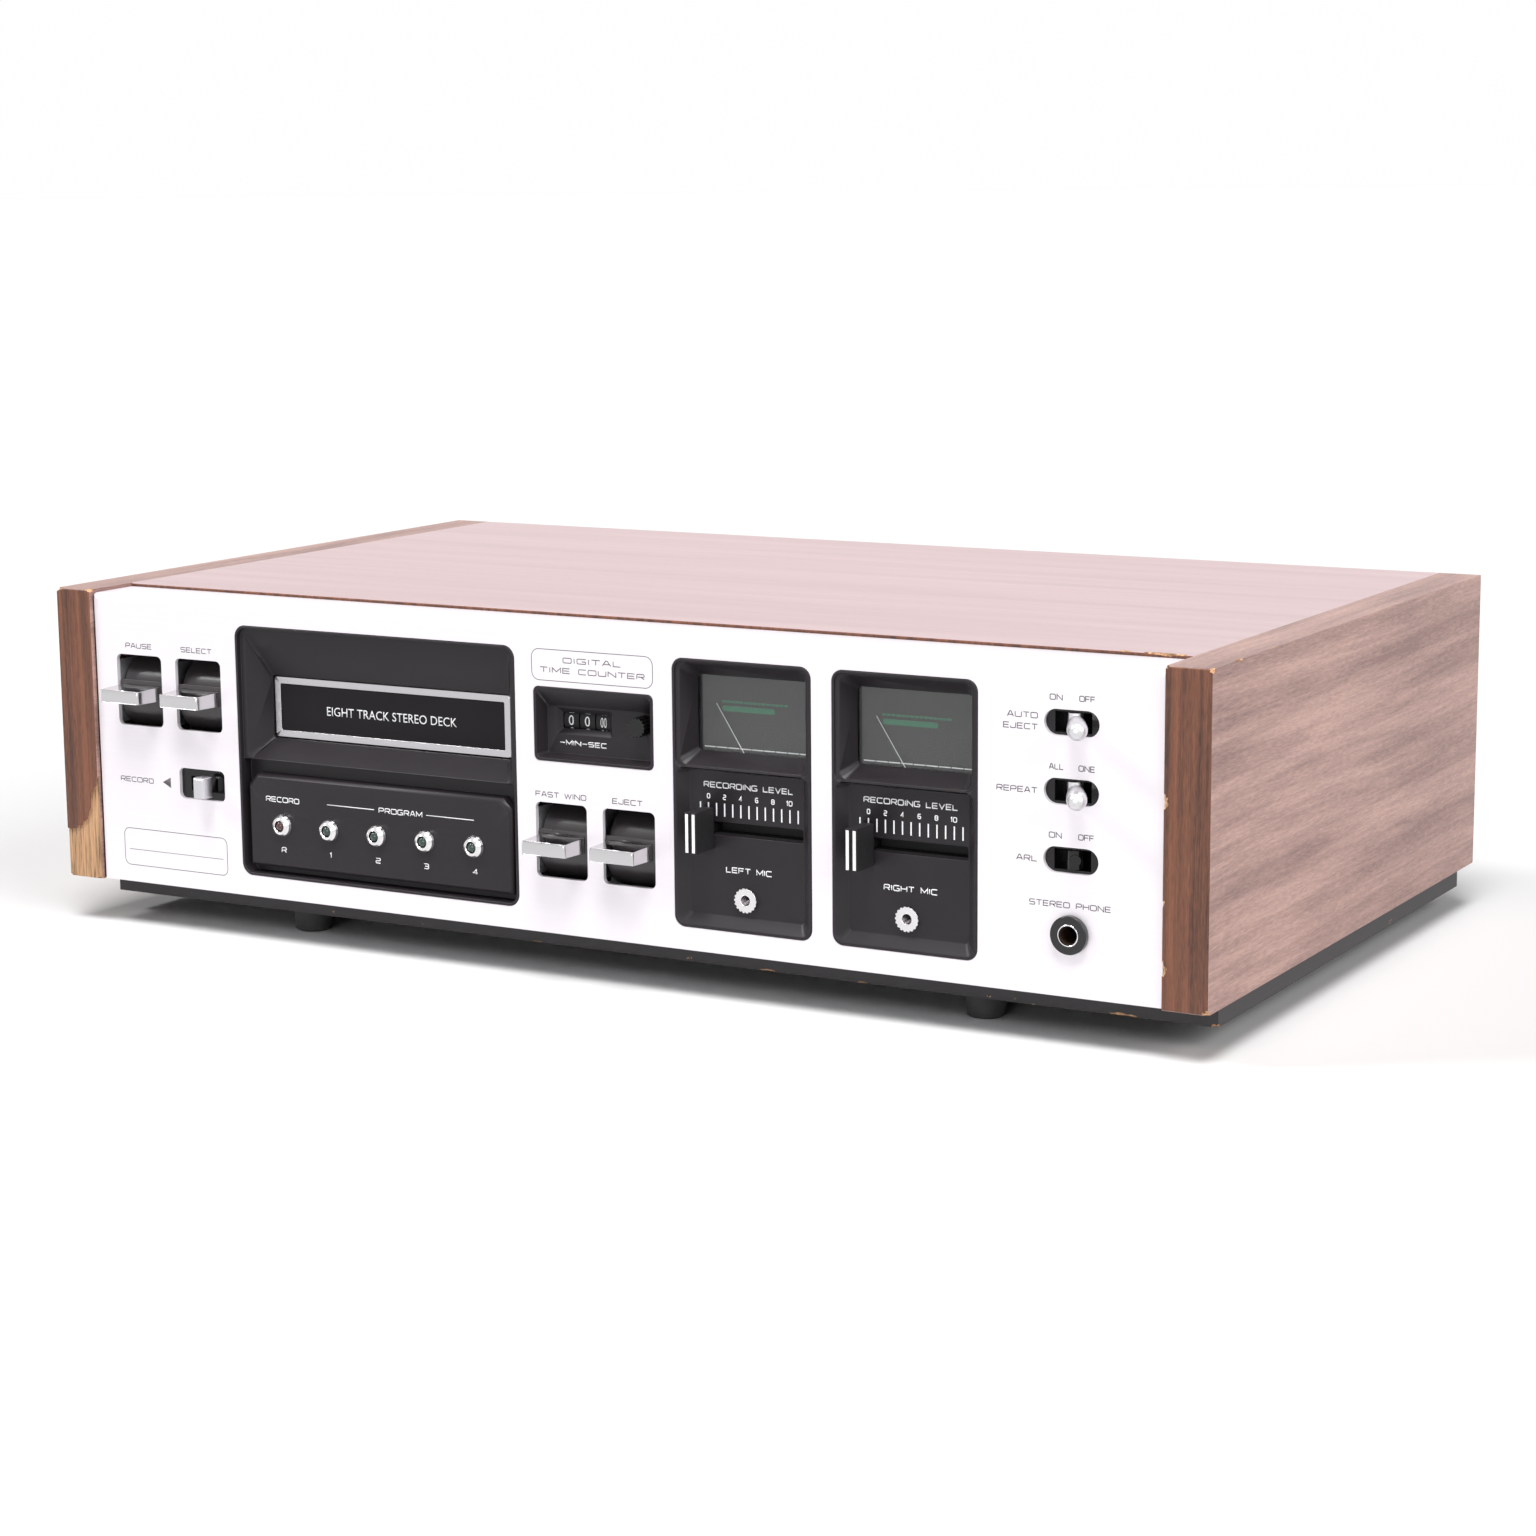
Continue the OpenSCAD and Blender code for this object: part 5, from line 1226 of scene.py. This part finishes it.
class DECK_OT_levels(bpy.types.Operator):
    """Two level modules: moulding, meter, fader scale and knob, and microphone jack"""
    bl_idname = "deck.levels"
    bl_label = "Level modules"

    def execute(self, context):
        dress("meter_glasses", "glass")
        dress("meter_bodies", "matt_black")
        dress("fader_bodies", "matt_black")
        for side, x in LEVELS.items():
            soften(f"level_bezel_{side}", "moulding", front().edge_break / MM)
            soften(f"fader_knob_{side}", "matt_black", 0.12)
            self.needle(side, x)
            self.fader_lines(side)
            self.words(side, x)
            self.meter_face(side, x)
            self.rows(side, Vector((x, 0, 0)))
        soften("mic_jacks", "ring_metal", 0.15)
        for side, x in LEVELS.items():
            self.nut_teeth(side, x)
        return {"FINISHED"}

    def words(self, side, x):
        bm = bmesh.new()
        middle = x + WORDS_SHIFT
        add_legend(bm, "RECORDING LEVEL", middle, 58.7, LEVEL_FACE, 2.1, 35.2)
        add_legend(bm, side.upper() + " MIC", middle, 29.45, LEVEL_FACE, 2.1, MIC_WIDTH[side])
        for k, (mark, width) in enumerate(DIAL.items()):
            add_legend(bm, mark, x + DIAL_START + DIAL_PITCH * k, 54.6, LEVEL_FACE, 1.9, width,
                       weight=DIAL_WEIGHT)
        add_print(f"level_words_{side}", bm, "paint", CABINET)

    def meter_face(self, side, x):
        """The card, and the coloured band that stands a little proud of it."""
        bm = bmesh.new()
        box_mesh(bm, (x + CARD_LOW[0], CARD_FACE, CARD_LOW[1]),
                 (x + CARD_HIGH[0], CARD_FACE + 0.2, CARD_HIGH[1]))
        add_piece(f"meter_card_{side}", settle(bm, "card"), "meter_card", CABINET)
        bm = bmesh.new()
        outline = rounded(x + BAND_AT[0], BAND_AT[1], *BAND_SIZE)
        polygon_prism(bm, outline, CARD_FACE - 0.07, CARD_FACE)
        add_piece(f"meter_band_{side}", settle(bm, "band"), "meter_band", CABINET)

    def rows(self, side, middle):
        for name, (finish_name, slot, count, pitch, low, high) in ROWS.items():
            bm = bmesh.new()
            box_mesh(bm, middle + Vector(low), middle + Vector(high))
            repeat(f"{name}_{side}", settle(bm, name), count, (pitch * MM, 0, 0), finish_name)

    def needle(self, side, x):
        """Draws the needle in to a third of its width, about the line from its pivot to its tip."""
        node = f"needle_{side}"
        mesh = merged_copy(node)
        points = sorted((v.co for v in mesh.vertices), key=lambda p: p.z)
        tip = sum(points[-4:], Vector()) / 4
        pivot = place(x, 0, NEEDLE_PIVOT_Z)
        pivot.y = tip.y
        length = tip - pivot
        for v in mesh.vertices:
            on_line = pivot + length * ((v.co - pivot).dot(length) / length.length_squared)
            v.co = on_line + (v.co - on_line) * NEEDLE_THIN
        smooth(mesh)
        add_piece(node + "_thin", mesh, "paint", "needle_" + side[0], (node,))

    def fader_lines(self, side):
        low, high = node_mm(f"fader_knob_{side}")
        near, far = FADER_LINE
        bm = bmesh.new()
        for x0, x1 in ((low.x + near, low.x + far), (high.x - far, high.x - near)):
            box_mesh(bm, (x0, low.y - 0.02, low.z + FADER_LINE_END),
                     (x1, low.y + 0.2, high.z - FADER_LINE_END))
        mesh = settle(bm, "lines")
        add_piece(f"fader_lines_{side}", mesh, "paint", "level_" + side[0])

    def nut_teeth(self, side, x):
        """The teeth round a jack's nut. One is drawn about the origin, and turned round the nut."""
        bm = bmesh.new()
        box_mesh(bm, *(Vector(corner) * MM for corner in TOOTH_BOX))
        turn = (0, 2 * math.pi / NUT_TEETH, 0)
        repeat(f"mic_nut_teeth_{side}", new_mesh("tooth", bm), NUT_TEETH, turn, "ring_metal",
               place(x, LEVEL_FACE, NUT_Z))


# ---- jacks, rear and inside

PHONE_AT = (421.4, 21.25)
# The bright ring and the brown sleeve of the phone jack: radius, and depth behind the nut's front
PHONE_RING = [(3.3, 0.9), (3.3, -0.02), (3.45, -0.12), (3.65, -0.02), (3.75, 0.15), (3.75, 0.9),
              (3.3, 0.9)]
PHONE_SLEEVE = [(3.29, 0.9), (3.14, 0.9), (3.14, 9.0), (3.29, 9.0), (3.29, 0.9)]


class DECK_OT_jacks(bpy.types.Operator):
    """Headphone jack: black washer nut with a thin bright ring round its bore"""
    bl_idname = "deck.jacks"
    bl_label = "Headphone jack"

    def execute(self, context):
        soften("phone_jack", "gloss_black", 0.35)
        self.lining("phone_jack_ring", PHONE_RING, "chrome")
        self.lining("phone_jack_sleeve", PHONE_SLEEVE, "brown_bore")
        return {"FINISHED"}

    def lining(self, name, profile, finish_name):
        nut_front = node_mm("phone_jack")[0].y
        bm = bmesh.new()
        turned(bm, [(r, nut_front + d) for r, d in profile], PHONE_AT)
        add_piece(name, settle(bm, name), finish_name, CABINET)


INSIDE = {
    "chassis": "zinc", "rear_panel": "black_sheet", "rear_jacks": "satin_steel",
    "cord_gland": "matt_black", "rear_screws": "satin_steel", "drive_motor": "zinc",
    "motor_pulley": "brass", "drive_belt": "rubber", "flywheel": "cast_metal",
    "tape_head": "chrome", "head_carriage": "zinc", "track_cam": "white_plastic",
    "transformer": "black_sheet", "main_board": "board_green"}


class DECK_OT_inside(bpy.types.Operator):
    """Rear panel, chassis, drive and electrics"""
    bl_idname = "deck.inside"
    bl_label = "Rear and inside"

    def execute(self, context):
        for node, name in INSIDE.items():
            dress(node, name)
        return {"FINISHED"}


# ---- the stage

CAMERA_MM = (861.34, -968.05, 268.72)
SENSOR = 36
FLOOR_HALF = 40.0
# Lamps, as distant as the sun: the way each lies from the deck, how wide it looks, in degrees,
# and its setting
LAMPS = {"key_light": ((-1.6, -1.0, 1.6), 12, "key_strength"),
         "sky_light": ((0.16, -0.40, 1.0), 24, "sky_strength"),
         "front_light": ((0.10, -1.0, 0.06), 30, "front_strength"),
         "side_light": ((1.0, -0.30, 0.62), 40, "side_strength")}


def mostly_seen(nodes, join):
    """1 for rays from the camera and through gloss or glass, 0 for the light a surface gathers."""
    path = nodes.new("ShaderNodeLightPath")
    seen = path.outputs["Is Camera Ray"]
    for kind in ("Is Glossy Ray", "Is Transmission Ray"):
        either = nodes.new("ShaderNodeMath")
        either.operation = "MAXIMUM"
        join(seen, either.inputs[0])
        join(path.outputs[kind], either.inputs[1])
        seen = either.outputs[0]
    return seen


class DECK_OT_stage(bpy.types.Operator):
    """Pale floor, white room, four soft lamps and the camera"""
    bl_idname = "deck.stage"
    bl_label = "Stage"

    def execute(self, context):
        settings = context.scene.deck_stage
        self.floor(settings)
        self.room(context, settings)
        self.lamps(settings)
        self.camera(context, settings)
        context.scene.view_settings.view_transform = "Standard"
        return {"FINISHED"}

    def floor(self, settings):
        bm = bmesh.new()
        bmesh.ops.create_grid(bm, x_segments=2, y_segments=2, size=FLOOR_HALF)
        mesh = new_mesh("floor", bm)
        f = Finish("floor")
        seen = mostly_seen(f.tree.nodes, f.join)
        chalk = f.node("ShaderNodeBsdfDiffuse")
        lifted = tuple(c * settings.floor_lift for c in settings.floor)
        f.join(f.mix(seen, tuple(settings.floor), lifted), chalk.inputs["Color"])
        f.join(chalk.outputs[0], f.tree.nodes["Material Output"].inputs["Surface"])
        mesh.materials.append(f.material)
        new_object("floor", mesh)

    def room(self, context, settings):
        """A white world, which shows more than it lights the deck."""
        world = bpy.data.worlds.new("room")
        context.scene.world = world
        world.use_nodes = True
        nodes, join = world.node_tree.nodes, world.node_tree.links.new
        background = nodes["Background"]
        background.inputs["Color"].default_value = (1.0, 0.995, 1.0, 1)
        level = nodes.new("ShaderNodeMapRange")
        level.inputs["To Min"].default_value = settings.ambient
        level.inputs["To Max"].default_value = 1.0
        join(mostly_seen(nodes, join), level.inputs["Value"])
        join(level.outputs["Result"], background.inputs["Strength"])

    def lamps(self, settings):
        for name, (way, spread, strength) in LAMPS.items():
            lamp = bpy.data.lights.new(name, "SUN")
            lamp.energy = getattr(settings, strength)
            lamp.angle = math.radians(spread)
            new_object(name, lamp).rotation_euler = Vector(way).to_track_quat("Z", "Y").to_euler()

    def camera(self, context, settings):
        """The camera where the photograph was taken from, turned by its azimuth and elevation."""
        a, e, r = settings.azimuth, settings.elevation, settings.roll
        back = Vector((math.sin(a) * math.cos(e), -math.cos(a) * math.cos(e), math.sin(e)))
        right = Vector((0, 0, 1)).cross(back).normalized()
        up = back.cross(right)
        tilted = right * math.cos(r) + up * math.sin(r)
        raised = up * math.cos(r) - right * math.sin(r)
        data = bpy.data.cameras.new("camera")
        data.lens = settings.lens
        data.sensor_width = SENSOR
        data.clip_start = 0.05
        data.clip_end = 30
        made = new_object("camera", data)
        turn = Matrix((tilted, raised, back)).transposed().to_4x4()
        made.matrix_world = Matrix.Translation(place(*CAMERA_MM)) @ turn
        context.scene.camera = made


# ---- the add-on

GROUPS = {"deck_wood": DeckWood, "deck_front": DeckFront, "deck_stage": DeckStage}
OPERATORS = [DECK_OT_cabinet, DECK_OT_front_plate, DECK_OT_bay, DECK_OT_keys, DECK_OT_switches,
             DECK_OT_counter, DECK_OT_levels, DECK_OT_jacks, DECK_OT_inside, DECK_OT_stage]


class DECK_PT_panel(bpy.types.Panel):
    """Lists the steps that dress the deck, and its settings"""
    bl_idname = "DECK_PT_panel"
    bl_label = "Eight-track deck"
    bl_space_type = "VIEW_3D"
    bl_region_type = "UI"
    bl_category = "Deck"

    def draw(self, context):
        for operator in OPERATORS:
            self.layout.operator(operator.bl_idname)
        for name in GROUPS:
            group = getattr(context.scene, name)
            for setting in group.bl_rna.properties.keys():
                if setting not in ("rna_type", "name"):
                    self.layout.prop(group, setting)


def register():
    for made in [*GROUPS.values(), *OPERATORS, DECK_PT_panel]:
        bpy.utils.register_class(made)
    for name, group in GROUPS.items():
        setattr(bpy.types.Scene, name, bpy.props.PointerProperty(type=group))


def unregister():
    for name in GROUPS:
        delattr(bpy.types.Scene, name)
    for made in reversed([*GROUPS.values(), *OPERATORS, DECK_PT_panel]):
        bpy.utils.unregister_class(made)


def main():
    register()
    for operator in OPERATORS:
        group, name = operator.bl_idname.split(".")
        getattr(getattr(bpy.ops, group), name)()


if __name__ == "__main__":
    main()
